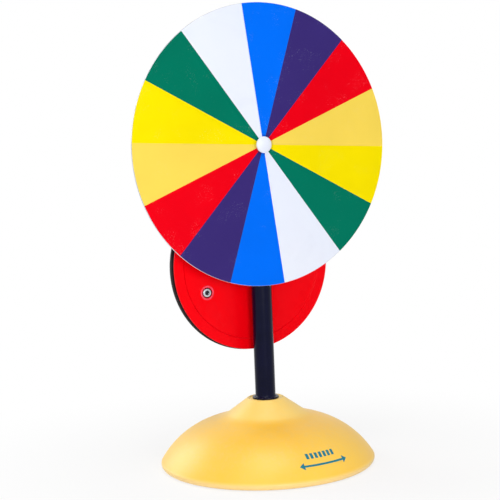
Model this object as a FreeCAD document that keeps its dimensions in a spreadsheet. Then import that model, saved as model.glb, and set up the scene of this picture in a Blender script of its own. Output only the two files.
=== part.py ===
import FreeCAD, Part
import math
import os
import Sketcher

# Hand-cranked colour disc on a domed stand.
# The frame has its origin on the column's axis at table level, +Z up.
# The colour disc faces -Y, the crank wheel and its handle are behind the column, at +Y.
# Every size is in millimetres, every angle in degrees.

SIZES = [
    # Domed base
    ("rim_lift", 0.5, "gap between the dome's rim and the table"),
    ("foot_radius", 85.5, "dome radius where it meets the table side"),
    ("rim_overhang", 2.9, "reach of the rolled rim beyond that radius"),
    ("rim_height", 4.5, "height of the rolled rim"),
    ("rim_bulge", 1.03, "rise of the rolled rim's arc"),
    ("dome_height", 32.5, "height of the dome above its rolled rim"),
    ("dome_bulge", 5.4, "rise of the dome's arc"),
    ("flare_width", 12.5, "width of the hollow flare at the neck's foot"),
    ("flare_height", 5.2, "height of that flare"),
    ("flare_hollow", 0.5, "depth of that flare's hollow"),
    ("cone_width", 16.2, "width of the neck's cone"),
    ("cone_height", 11.7, "height of the neck's cone"),
    ("neck_ledge", 4.9, "width of the neck's seat outside the collar"),
    ("bead_width", 2.4, "width of the bead round the neck's seat"),
    ("bead_height", 0.6, "height of that bead"),
    ("dome_wall", 3.0, "wall of the dome"),
    ("socket_wall", 3.0, "wall of the sleeve that holds the column"),
    ("boss_radius", 3.6, "radius of the screw bosses in the dome"),
    ("boss_inset", 6.0, "distance of a boss's axis from the rim's inside"),
    ("boss_height", 10.0, "height of the bosses above the base plate"),
    # Ballast, base plate and foot
    ("foot_ring_height", 2.0, "thickness of the rubber foot ring"),
    ("foot_ring_inset", 3.5, "distance of the foot ring from the screws' circle"),
    ("foot_ring_width", 11.0, "width of the foot ring"),
    ("plate_thickness", 2.0, "thickness of the base plate"),
    ("plate_clearance", 0.3, "gap between the base plate and the rim"),
    ("ballast_gap", 14.9, "gap between the iron ballast and the screw bosses"),
    ("ballast_height", 10.0, "height of the iron ballast"),
    ("bolt_pocket_radius", 10.5, "radius of the pocket for the column bolt"),
    ("bolt_pocket_depth", 6.2, "depth of that pocket"),
    ("plate_screw_count", 4, "number of the base plate's screws"),
    ("plate_screw_angle", 45.0, "angle of the first of those screws"),
    ("plate_screw_radius", 1.5, "shank radius of the base plate's screws"),
    ("plate_screw_length", 9.0, "length of the base plate's screws"),
    ("plate_screw_head", 2.7, "head radius of the base plate's screws"),
    ("plate_screw_head_height", 1.4, "head height of the base plate's screws"),
    # Column
    ("column_radius", 8.35, "outer radius of the column"),
    ("column_wall", 2.0, "wall of the column"),
    ("column_above_disc", 15.0, "column length above the disc's axis"),
    ("column_end_gap", 1.0, "gap between the column's end and the ballast"),
    ("collar_width", 2.55, "width of the column's collar"),
    ("collar_height", 1.5, "height of the collar's straight edge"),
    ("collar_flare", 1.7, "height of the fillet above the collar"),
    ("collar_hollow", 0.8, "depth of that fillet's hollow"),
    ("cap_skirt", 6.0, "depth of the end cap inside the column"),
    ("cap_edge", 1.2, "height of the end cap's edge above the column"),
    ("cap_crown", 1.4, "rise of the end cap's crown above its edge"),
    ("insert_length", 14.0, "length of the threaded insert"),
    ("column_bolt_radius", 3.0, "shank radius of the column bolt"),
    ("column_bolt_reach", 10.0, "length of the column bolt in the insert"),
    ("column_bolt_flats", 10.0, "width across flats of its head"),
    ("column_bolt_head", 4.0, "height of its head"),
    ("column_washer_radius", 9.0, "radius of its washer"),
    ("column_washer_thickness", 1.6, "thickness of its washer"),
    # Colour disc
    ("disc_axis_height", 264.0, "height of the disc's axis"),
    ("disc_radius", 115.0, "radius of the colour disc"),
    ("disc_thickness", 1.5, "thickness of the white disc"),
    ("film_thickness", 0.2, "thickness of a coloured film"),
    ("film_margin", 0.2, "white edge left outside the films"),
    ("film_angle", 25.1, "angle of one coloured sector"),
    ("film_start", -7.5, "clockwise angle from the top to the first sector"),
    ("flange_radius", 18.0, "radius of the steel flange behind the disc"),
    ("flange_thickness", 1.15, "thickness of that flange"),
    ("hub_cap_radius", 6.75, "radius of the white hub cap"),
    ("hub_cap_edge", 1.6, "height of the hub cap's edge"),
    ("hub_cap_crown", 1.4, "rise of the hub cap's crown above its edge"),
    ("hub_cap_wall", 0.8, "hub cap's thickness in front of the shaft"),
    # Disc shaft and bushes
    ("shaft_radius", 3.0, "radius of the disc shaft in its bushes"),
    ("shaft_thread", 2.5, "radius of the shaft's threaded ends"),
    ("bush_radius", 4.4, "outer radius of a bush's sleeve"),
    ("bush_depth", 5.0, "length of a bush's sleeve inside the column"),
    ("bush_flange_radius", 6.8, "radius of a bush's saddle flange"),
    ("bush_flange", 1.6, "thickness of the flange on the column's crown"),
    ("end_float", 0.2, "free play at each thrust face"),
    ("running_clearance", 0.05, "radial clearance of a turning fit"),
    ("fit_clearance", 0.02, "radial clearance of a fixed fit"),
    ("drill_clearance", 0.1, "radial clearance of a drilled hole"),
    # Belt and its grooves
    ("belt_radius", 1.5, "radius of the round belt"),
    ("belt_sink", 1.0, "depth of the belt below the pulley's edge"),
    ("groove_bottom_gap", 1.0, "room under the belt"),
    ("groove_floor_relief", 0.24, "belt radius less half the groove's floor"),
    ("groove_mouth_flare", 0.8, "half the groove's mouth less the belt radius"),
    ("rim_lip", 1.2, "thickness of a groove's lip at the edge"),
    ("pulley_radius", 14.0, "outer radius of the small pulley"),
    ("pulley_hub_radius", 7.0, "radius of the small pulley's hub"),
    ("pulley_nut_flats", 8.0, "width across flats of the pulley's nut"),
    ("pulley_nut_height", 4.0, "height of the pulley's nut"),
    ("thread_overrun", 1.2, "thread left standing out of a nut"),
    # Crank wheel
    ("wheel_radius", 71.5, "outer radius of the crank wheel"),
    ("pulley_gap", 13.5, "gap between the wheel and the small pulley"),
    ("wheel_band_width", 8.5, "width of the raised band on the wheel's face"),
    ("wheel_band_slope", 0.8, "width of the band's sloping step"),
    ("wheel_recess", 0.8, "depth of the face inside the band"),
    ("wheel_web", 2.0, "thickness of the wheel's web"),
    ("wheel_ring_wall", 6.5, "width of the ring under the groove"),
    ("hub_radius", 10.0, "radius of the wheel's hub"),
    ("hub_front", 2.0, "length of the hub in front of the wheel"),
    ("hub_rear", 4.6, "length of the hub behind the wheel"),
    ("rib_count", 8, "number of ribs on the wheel's back plate"),
    ("rib_width", 2.0, "width of a rib"),
    ("rib_height", 0.8, "height of a rib"),
    ("back_collar_radius", 16.0, "radius of the raised ring round the hub"),
    ("joining_screw_count", 4, "number of screws that join the wheel's halves"),
    ("joining_circle", 40.0, "radius of the circle of those screws"),
    ("joining_boss", 3.6, "radius of the bosses that those screws grip"),
    ("joining_screw_radius", 1.25, "shank radius of those screws"),
    ("joining_floor", 0.9, "wall left in front of those screws"),
    ("joining_head_radius", 2.5, "head radius of those screws"),
    ("joining_head_height", 1.5, "head height of those screws"),
    ("joining_angle", 22.5, "angle of the first of those screws"),
    # Wheel axle
    ("spacer_length", 4.05, "length of the spacer on the column's crown"),
    ("spacer_radius", 7.6, "radius of that spacer"),
    ("axle_radius", 3.0, "radius of the axle bolt"),
    ("axle_head_radius", 5.5, "radius of the axle bolt's low head"),
    ("axle_head_height", 1.3, "height of the axle bolt's low head"),
    ("saddle_radius", 6.5, "radius of the saddle washer under the head"),
    ("saddle_thickness", 0.6, "saddle washer's thickness on the crown"),
    ("sleeve_radius", 5.0, "outer radius of the axle sleeve"),
    ("wheel_bush_radius", 7.0, "outer radius of the wheel's bush"),
    ("axle_washer_radius", 9.5, "radius of the washer behind the hub"),
    ("axle_washer_thickness", 1.6, "thickness of that washer"),
    ("axle_nut_flats", 10.0, "width across flats of the axle nut"),
    ("axle_nut_height", 6.0, "height of the axle nut"),
    # Handle
    ("crank_inset", 24.2, "distance of the handle from the wheel's edge"),
    ("crank_angle", 206.0, "angle of the handle at rest, from +X"),
    ("handle_boss_radius", 9.0, "radius of the boss that carries the handle"),
    ("handle_boss_height", 2.0, "height of that boss behind the back plate"),
    ("pocket_radius", 4.3, "radius of the pocket for the screw's head"),
    ("pocket_depth", 2.2, "depth of that pocket"),
    ("pocket_ring_radius", 6.2, "radius of the moulded ring round the pocket"),
    ("pocket_ring_height", 0.6, "height of that ring"),
    ("handle_screw_radius", 2.0, "shank radius of the handle's screw"),
    ("handle_head_radius", 3.5, "head radius of the handle's screw"),
    ("handle_head_height", 2.8, "head height of the handle's screw"),
    ("handle_socket_flats", 3.0, "width across flats of its hex socket"),
    ("handle_socket_depth", 1.6, "depth of its hex socket"),
    ("handle_washer_radius", 6.0, "radius of the washer inside the handle"),
    ("handle_washer_thickness", 0.8, "thickness of the handle's washers"),
    ("handle_sleeve_radius", 3.4, "outer radius of the handle's sleeve"),
    ("handle_sleeve_length", 23.5, "length of the handle's sleeve"),
    ("handle_nut_flats", 7.0, "width across flats of the handle's nut"),
    ("handle_nut_height", 5.0, "height of the handle's nut"),
    ("end_washer_radius", 5.0, "radius of the washer under that nut"),
    ("grip_neck_radius", 8.0, "radius of the grip next to the wheel"),
    ("grip_end_radius", 9.2, "radius of the grip's free end"),
    ("grip_bulge", 1.9, "rise of the grip's barrel curve"),
    ("grip_chamfer", 1.2, "bevel on the grip's ends"),
    ("grip_pocket_radius", 6.2, "radius of the pocket in the grip's end"),
    ("plug_gap", 0.8, "gap between the handle's screw and the plug"),
    ("plug_height", 2.5, "height of the plug that closes the pocket"),
    ("plug_crown", 1.0, "rise of the plug's crown above its edge"),
]

doc = FreeCAD.newDocument("ColourDisc")
sizes = doc.addObject("Spreadsheet::Sheet", "Sizes")
for row, (alias, number, note) in enumerate(SIZES, start=1):
    sizes.set(f"A{row}", note)
    sizes.set(f"B{row}", str(number))
    sizes.setAlias(f"B{row}", alias)
doc.recompute()


class Size(str):
    """An expression on the sheet's cells that can be added up like a number."""

    def __add__(self, other):
        return Size(f"({str(self)} + {str(other)})")

    def __sub__(self, other):
        return Size(f"({str(self)} - {str(other)})")

    def __mul__(self, other):
        return Size(f"({str(self)} * {str(other)})")

    def __truediv__(self, other):
        return Size(f"({str(self)} / {str(other)})")

    def __neg__(self):
        return Size(f"(0 - {str(self)})")


def size(alias):
    return Size(f"Sizes.{alias}")


def number(expression):
    result = sizes.evalExpression(str(expression))
    return float(getattr(result, "Value", result))


# Which way a piece's own axis points in the assembly
UPWARD = FreeCAD.Rotation()
TO_BACK = FreeCAD.Rotation(FreeCAD.Vector(1, 0, 0), -90)
TO_FRONT = FreeCAD.Rotation(FreeCAD.Vector(1, 0, 0), 90)

nodes = []


def place(piece, facing, x=None, y=None, z=None):
    piece.Placement = FreeCAD.Placement(FreeCAD.Vector(), facing)
    for axis, expression in (("x", x), ("y", y), ("z", z)):
        if expression is not None:
            piece.setExpression(f".Placement.Base.{axis}", str(expression))
    return piece


def turn(piece, angle):
    """Turn a piece about its own Z axis."""
    piece.Placement = FreeCAD.Placement(
        piece.Placement.Base, FreeCAD.Rotation(FreeCAD.Vector(0, 0, 1), 1))
    piece.setExpression(".Placement.Rotation.Angle", str(angle))
    return piece


def finish(piece, label):
    piece.Label = label
    nodes.append(piece)
    return piece


def curve(x, y, way, rise):
    """A corner reached along an arc that rises so far in its middle.

    The arc turns anticlockwise for a way of 1, and clockwise for -1."""
    def radius(across, along):
        return ((across * across + along * along) / 4 + rise * rise) / (rise * 2)
    return (x, y, way, radius)


def crown(y):
    """A corner on the axis, reached along an arc whose centre is on the axis."""
    def radius(across, along):
        return (across * across + along * along) / (along * 2)
    return (0, y, 1, radius)


def arc_between(start, end, radius, way):
    chord = end - start
    middle = (start + end) * 0.5
    rise = math.sqrt(max(radius ** 2 - (chord.Length / 2) ** 2, 0.0))
    side = FreeCAD.Vector(-chord.y, chord.x, 0).normalize()
    centre = middle + side * rise * way
    first, last = (start, end) if way > 0 else (end, start)
    angles = [math.atan2(p.y - centre.y, p.x - centre.x) for p in (first, last)]
    if angles[1] < angles[0]:
        angles[1] += 2 * math.pi
    circle = Part.Circle(centre, FreeCAD.Vector(0, 0, 1), radius)
    return Part.ArcOfCircle(circle, angles[0], angles[1])


def pin_down(sketch, name, geometry, point, x, y):
    """Hold one corner of an outline at its expressions, or on an axis where it is 0."""
    for kind, axis_line, coordinate in (("DistanceX", -2, x), ("DistanceY", -1, y)):
        if coordinate == 0:
            sketch.addConstraint(Sketcher.Constraint("PointOnObject", geometry, point, axis_line))
            continue
        held = Sketcher.Constraint(kind, -1, 1, geometry, point, number(coordinate))
        index = sketch.addConstraint(held)
        sketch.renameConstraint(index, f"{name}_{kind[-1].lower()}")
        sketch.setExpression(f"Constraints.{name}_{kind[-1].lower()}", str(coordinate))


def draw(sketch, corners):
    """Draw a closed outline through its corners, each held by the sheet's sizes."""
    spots = [FreeCAD.Vector(number(c[0]), number(c[1]), 0) for c in corners]
    ends = []
    radii = {}
    for index, corner in enumerate(corners):
        start, end = spots[index - 1], spots[index]
        if len(corner) == 4:
            way, rule = corner[2], corner[3]
            across = Size(str(corner[0])) - Size(str(corners[index - 1][0]))
            along = Size(str(corner[1])) - Size(str(corners[index - 1][1]))
            radii[index] = rule(across, along)
            edge = arc_between(start, end, number(radii[index]), way)
            ends.append((1, 2) if way > 0 else (2, 1))
        else:
            edge = Part.LineSegment(start, end)
            ends.append((1, 2))
        sketch.addGeometry(edge)
    for index in range(len(corners)):
        before = index - 1 if index else len(corners) - 1
        sketch.addConstraint(Sketcher.Constraint(
            "Coincident", before, ends[before][1], index, ends[index][0]))
    for index, corner in enumerate(corners):
        pin_down(sketch, f"corner_{index}", index, ends[index][1], corner[0], corner[1])
    for index, radius in radii.items():
        held = sketch.addConstraint(Sketcher.Constraint("Radius", index, number(radius)))
        sketch.renameConstraint(held, f"arc_{index}")
        sketch.setExpression(f"Constraints.arc_{index}", str(radius))


def plane_of(body, role):
    return next(f for f in body.Origin.OriginFeatures if f.Role == role)


def turned(name, corners):
    """A body turned about its own Z axis from an outline of radius and height."""
    body = doc.addObject("PartDesign::Body", name)
    sketch = body.newObject("Sketcher::SketchObject", f"{name}_outline")
    sketch.AttachmentSupport = [(plane_of(body, "XZ_Plane"), "")]
    sketch.MapMode = "FlatFace"
    draw(sketch, corners)
    solid = body.newObject("PartDesign::Revolution", f"{name}_turned")
    solid.Profile = sketch
    solid.ReferenceAxis = (sketch, ["V_Axis"])
    solid.Angle = 360
    return body


def cylinder(name, radius, height, x=None, y=None, z=None):
    piece = doc.addObject("Part::Cylinder", name)
    piece.setExpression("Radius", str(radius))
    piece.setExpression("Height", str(height))
    return place(piece, UPWARD, x, y, z)


def hexagon(name, flats, height, z=None):
    piece = doc.addObject("Part::Prism", name)
    piece.Polygon = 6
    piece.setExpression("Circumradius", f"{flats} / 2 / cos(30)")
    piece.setExpression("Height", str(height))
    return place(piece, UPWARD, z=z)


def union(name, pieces):
    whole = doc.addObject("Part::MultiFuse", name)
    whole.Shapes = pieces
    return whole


def cut(name, base, tools):
    tool = tools[0] if len(tools) == 1 else union(f"{name}_tools", tools)
    rest = doc.addObject("Part::Cut", name)
    rest.Base = base
    rest.Tool = tool
    return rest


def crossing(name, radius, height):
    """A cylinder lying along Y through a piece's own axis, at a height on it."""
    reach = size("column_radius") * 2
    piece = cylinder(name, radius, reach * 2)
    return place(piece, TO_BACK, y=-reach, z=height)


def around(name, count, circle, first, make):
    """Copies of one piece at equal angles on a circle about the Z axis."""
    copies = []
    for index in range(int(number(count))):
        angle = first + Size(f"{index} * 360") / count
        x = circle * Size(f"cos({angle})")
        y = circle * Size(f"sin({angle})")
        copies.append(make(f"{name}_{index + 1}", x, y))
    return copies


def washer(name, radius, bore, thickness):
    return turned(name, [(bore, 0), (radius, 0), (radius, thickness), (bore, thickness)])


def headed(name, radius, length, head_radius, head_height):
    """A screw or bolt with a round head, which starts with its head."""
    end = head_height + length
    return turned(name, [
        (0, 0), (head_radius, 0), (head_radius, head_height),
        (radius, head_height), (radius, end), (0, end)])


def nut(name, flats, height, bore):
    """A hexagon nut with bevelled corners."""
    corner = flats / Size("(2 * cos(30))")
    bevel = corner - flats / 2
    prism = hexagon(f"{name}_prism", flats, height)
    barrel = turned(f"{name}_barrel", [
        (0, 0), (flats / 2, 0), (corner, bevel),
        (corner, height - bevel), (flats / 2, height), (0, height)])
    shaped = doc.addObject("Part::Common", f"{name}_shaped")
    shaped.Base = prism
    shaped.Tool = barrel
    return cut(name, shaped, [cylinder(f"{name}_bore", bore, height)])


# Heights and radii of the base that several pieces share
rim_top = size("rim_lift") + size("rim_height")
crease_height = rim_top + size("dome_height")
neck_foot_height = crease_height + size("flare_height")
seat_height = neck_foot_height + size("cone_height")
collar_radius = size("column_radius") + size("collar_width")
neck_top_radius = collar_radius + size("neck_ledge")
neck_foot_radius = neck_top_radius + size("cone_width")
crease_radius = neck_foot_radius + size("flare_width")
rim_inside = size("foot_radius") - size("dome_wall")

plate_bottom = size("foot_ring_height")
plate_top = plate_bottom + size("plate_thickness")
ballast_top = plate_top + size("ballast_height")
screw_circle = rim_inside - size("boss_inset")
foot_ring_outer = screw_circle - size("foot_ring_inset")

column_bottom = ballast_top + size("column_end_gap")
column_top = size("disc_axis_height") + size("column_above_disc")
column_bore = size("column_radius") - size("column_wall")
socket_bore = size("column_radius") + size("fit_clearance")

# Count, circle and first angle of the screws that hold the base plate and the wheel's halves
plate_screws = (size("plate_screw_count"), screw_circle, size("plate_screw_angle"))
joining_screws = (size("joining_screw_count"), size("joining_circle"), size("joining_angle"))

# Stations along Y, counted from the column's axis
bush_face = size("column_radius") + size("bush_flange")
shoulder = bush_face + size("end_float")
disc_back = shoulder + size("flange_thickness")
disc_front = disc_back + size("disc_thickness")
film_front = disc_front + size("film_thickness")
thread_bore = size("shaft_thread") + size("fit_clearance")

half_floor = size("belt_radius") - size("groove_floor_relief")
half_mouth = size("belt_radius") + size("groove_mouth_flare")
groove_depth = size("belt_radius") * 2 + size("belt_sink") + size("groove_bottom_gap")
belt_depth = size("belt_radius") + size("belt_sink")
rim_width = (half_mouth + size("rim_lip")) * 2
groove_floor = size("wheel_radius") - groove_depth
band_inner = size("wheel_radius") - size("wheel_band_width")
axle_height = (size("disc_axis_height") - size("pulley_radius") - size("pulley_gap")
               - size("wheel_radius"))

spacer_face = size("column_radius") + size("spacer_length")
hub_face = spacer_face + size("end_float")
wheel_face = hub_face + size("hub_front")
groove_plane = wheel_face + rim_width / 2
wheel_back = wheel_face + rim_width
hub_length = size("hub_front") + rim_width + size("hub_rear")
sleeve_length = hub_length + size("end_float") * 2
sleeve_end = spacer_face + sleeve_length

crank_radius = size("wheel_radius") - size("crank_inset")
crank_x = crank_radius * Size("cos(Sizes.crank_angle)")
crank_z = crank_radius * Size("sin(Sizes.crank_angle)")


def base_dome():
    """Moulded dome with a rolled rim, a flared neck and a sleeve for the column."""
    wall = size("dome_wall")
    bead_inner = neck_top_radius - size("bead_width")
    socket_outside = socket_bore + size("socket_wall")
    shell = turned("dome_shell", [
        (rim_inside, size("rim_lift")),
        (size("foot_radius"), size("rim_lift")),
        curve(size("foot_radius") + size("rim_overhang"), rim_top, 1, size("rim_bulge")),
        curve(crease_radius, crease_height, 1, size("dome_bulge")),
        curve(neck_foot_radius, neck_foot_height, -1, size("flare_hollow")),
        (neck_top_radius, seat_height),
        curve(bead_inner, seat_height, 1, size("bead_height")),
        (socket_bore, seat_height),
        (socket_bore, ballast_top),
        (socket_outside, ballast_top),
        (socket_outside, seat_height - wall),
        (neck_foot_radius, neck_foot_height - wall),
        (crease_radius, crease_height - wall),
        curve(rim_inside, rim_top, -1, size("dome_bulge")),
    ])
    count, circle, first = plate_screws

    def boss(name, x, y):
        return cylinder(name, size("boss_radius"), size("boss_height"), x, y, plate_top)

    def pilot(name, x, y):
        radius = size("plate_screw_radius") + size("fit_clearance")
        return cylinder(name, radius, size("plate_screw_length"), x, y, plate_bottom)

    bosses = around("dome_boss", count, circle, first, boss)
    pilots = around("dome_pilot", count, circle, first, pilot)
    moulding = union("dome_moulding", [shell] + bosses)
    finish(cut("dome", moulding, pilots), "base_dome")


def base_insides():
    """Iron ballast, base plate with its screws, and the rubber foot ring."""
    pocket = size("bolt_pocket_radius")
    ballast_radius = screw_circle - size("boss_radius") - size("ballast_gap")
    ballast = turned("ballast", [
        (pocket, 0),
        (ballast_radius, 0),
        (ballast_radius, size("ballast_height")),
        (size("column_bolt_radius") + size("drill_clearance"), size("ballast_height")),
        (size("column_bolt_radius") + size("drill_clearance"), size("bolt_pocket_depth")),
        (pocket, size("bolt_pocket_depth")),
    ])
    finish(place(ballast, UPWARD, z=plate_top), "ballast_weight")

    plate_radius = rim_inside - size("plate_clearance")
    count, circle, first = plate_screws
    blank = washer("plate_blank", plate_radius, pocket, size("plate_thickness"))

    def hole(name, x, y):
        radius = size("plate_screw_radius") + size("drill_clearance")
        return cylinder(name, radius, size("plate_thickness") * 3, x, y, -size("plate_thickness"))

    plate = cut("plate", blank, around("plate_hole", count, circle, first, hole))
    finish(place(plate, UPWARD, z=plate_bottom), "base_plate")

    def screw(name, x, y):
        head_height = size("plate_screw_head_height")
        piece = headed(f"{name}_body", size("plate_screw_radius"), size("plate_screw_length"),
                       size("plate_screw_head"), head_height)
        return finish(place(piece, UPWARD, x, y, plate_bottom - head_height), name)

    around("base_plate_screw", count, circle, first, screw)

    ring = washer("ring", foot_ring_outer, foot_ring_outer - size("foot_ring_width"), plate_bottom)
    finish(ring, "foot_ring")


def column_group():
    """Column with its collar, end cap, threaded insert, bolt and washer."""
    seat = seat_height - column_bottom
    edge = seat + size("collar_height")
    outer = size("column_radius")
    tube = turned("column_tube", [
        (column_bore, 0),
        (outer, 0),
        (outer, seat),
        (collar_radius, seat),
        (collar_radius, edge),
        curve(outer, edge + size("collar_flare"), -1, size("collar_hollow")),
        (outer, column_top - column_bottom),
        (column_bore, column_top - column_bottom),
    ])
    disc_hole = crossing("disc_shaft_hole", size("bush_radius") + size("fit_clearance"),
                         size("disc_axis_height") - column_bottom)
    axle_hole = crossing("axle_hole", size("axle_radius") + size("drill_clearance"),
                         axle_height - column_bottom)
    column = cut("column_drilled", tube, [disc_hole, axle_hole])
    finish(place(column, UPWARD, z=column_bottom), "column")

    inner = column_bore - size("fit_clearance")
    cap_edge = size("cap_skirt") + size("cap_edge")
    cap = turned("cap", [
        (0, 0),
        (inner, 0),
        (inner, size("cap_skirt")),
        (outer, size("cap_skirt")),
        (outer, cap_edge),
        crown(cap_edge + size("cap_crown")),
    ])
    finish(place(cap, UPWARD, z=column_top - size("cap_skirt")), "column_cap")

    threaded = size("column_bolt_radius") + size("fit_clearance")
    insert = washer("insert", inner, threaded, size("insert_length"))
    finish(place(insert, UPWARD, z=column_bottom), "column_insert")

    pocket_top = plate_top + size("bolt_pocket_depth")
    thickness = size("column_washer_thickness")
    ring = washer("bolt_washer", size("column_washer_radius"),
                  size("column_bolt_radius") + size("drill_clearance"), thickness)
    finish(place(ring, UPWARD, z=pocket_top - thickness), "column_washer")

    head_height = size("column_bolt_head")
    head = hexagon("bolt_head", size("column_bolt_flats"), head_height)
    length = column_bottom + size("column_bolt_reach") - pocket_top + thickness + head_height
    shank = cylinder("bolt_shank", size("column_bolt_radius"), length)
    bolt = union("bolt", [head, shank])
    finish(place(bolt, UPWARD, z=pocket_top - thickness - head_height), "column_bolt")


def saddle_cut(name, blank, start=None):
    """Hollow one end of a piece to sit on the round column.

    The piece's own axis points away from the column, and its zero is at start from
    the column's axis, or on that axis."""
    reach = size("column_radius") * 2
    seat = cylinder(f"{name}_seat", size("column_radius") + size("fit_clearance"), reach * 2)
    place(seat, TO_FRONT, y=reach, z=-start if start else None)
    return cut(name, blank, [seat])


def shaft_bushes():
    """Two bushes with saddle flanges, pushed into the column from both sides."""
    bore = size("shaft_radius") + size("running_clearance")
    start = size("column_radius") - size("bush_depth")
    length = bush_face - start
    for side, facing, way in (("front", TO_FRONT, -1), ("rear", TO_BACK, 1)):
        flange = turned(f"{side}_bush_flange", [
            (size("bush_radius"), -start),
            (size("bush_flange_radius"), -start),
            (size("bush_flange_radius"), length),
            (size("bush_radius"), length),
        ])
        sleeve = cylinder(f"{side}_bush_sleeve", size("bush_radius"), length)
        saddle = saddle_cut(f"{side}_bush_saddle", flange, start)
        solid = union(f"{side}_bush_blank", [saddle, sleeve])
        bush = cut(f"{side}_bush", solid, [cylinder(f"{side}_bush_bore", bore, length)])
        depth = start * way
        place(bush, facing, y=depth, z=size("disc_axis_height"))
        finish(bush, f"{side}_shaft_bush")


def disc_group():
    """Shaft, steel flange, white disc, coloured films, hub cap, small pulley and nut."""
    height = size("disc_axis_height")
    shaft, thread = size("shaft_radius"), size("shaft_thread")
    rear_length = wheel_back + size("pulley_nut_height") + size("thread_overrun") - shoulder
    cap_bore = size("hub_cap_edge") + size("hub_cap_crown") - size("hub_cap_wall")
    front_length = film_front + cap_bore - shoulder
    rod = turned("rod", [
        (0, 0),
        (thread, 0),
        (thread, rear_length),
        (shaft, rear_length),
        (shaft, rear_length + shoulder * 2),
        (thread, rear_length + shoulder * 2),
        (thread, rear_length + shoulder * 2 + front_length),
        (0, rear_length + shoulder * 2 + front_length),
    ])
    finish(place(rod, TO_FRONT, y=shoulder + rear_length, z=height), "disc_shaft")

    flange = washer("flange", size("flange_radius"), thread_bore, size("flange_thickness"))
    finish(place(flange, TO_FRONT, y=-shoulder, z=height), "disc_flange")

    disc = washer("disc", size("disc_radius"), thread_bore, size("disc_thickness"))
    finish(place(disc, TO_FRONT, y=-disc_back, z=height), "colour_disc")

    edge = size("hub_cap_edge")
    cap = turned("hub_cap_body", [
        (thread_bore, 0),
        (size("hub_cap_radius"), 0),
        (size("hub_cap_radius"), edge),
        crown(edge + size("hub_cap_crown")),
        (0, cap_bore),
        (thread_bore, cap_bore),
    ])
    finish(place(cap, TO_FRONT, y=-film_front, z=height), "hub_cap")

    colours = ["blue", "indigo", "red", "orange", "yellow", "green"]
    reach = size("disc_radius") - size("film_margin")
    for side, turn_round in (("right", 0), ("left", 180)):
        for order, colour in enumerate(colours):
            name = f"{side}_{colour}"
            wedge = cylinder(f"{name}_wedge", reach, size("film_thickness"))
            wedge.setExpression("Angle", str(size("film_angle")))
            first = size("film_start") + size("film_angle") * (order + 1)
            turn(wedge, Size(f"{450 - turn_round}") - first)
            bore = cylinder(f"{name}_bore", thread_bore, size("film_thickness"))
            film = cut(f"{name}_film", wedge, [bore])
            finish(place(film, TO_FRONT, y=-disc_front, z=height), f"{side}_{colour}_sector")

    hub_end = groove_plane - rim_width / 2 - shoulder
    middle = hub_end + rim_width / 2
    edge_radius = size("pulley_radius")
    pulley = turned("small_pulley", [
        (thread_bore, 0),
        (size("pulley_hub_radius"), 0),
        (size("pulley_hub_radius"), hub_end),
        (edge_radius, hub_end),
        (edge_radius, middle - half_mouth),
        (edge_radius - groove_depth, middle - half_floor),
        (edge_radius - groove_depth, middle + half_floor),
        (edge_radius, middle + half_mouth),
        (edge_radius, hub_end + rim_width),
        (thread_bore, hub_end + rim_width),
    ])
    finish(place(pulley, TO_BACK, y=shoulder, z=height), "disc_pulley")

    lock = nut("lock_nut", size("pulley_nut_flats"), size("pulley_nut_height"), thread_bore)
    finish(place(lock, TO_BACK, y=wheel_back, z=height), "pulley_nut")


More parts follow.
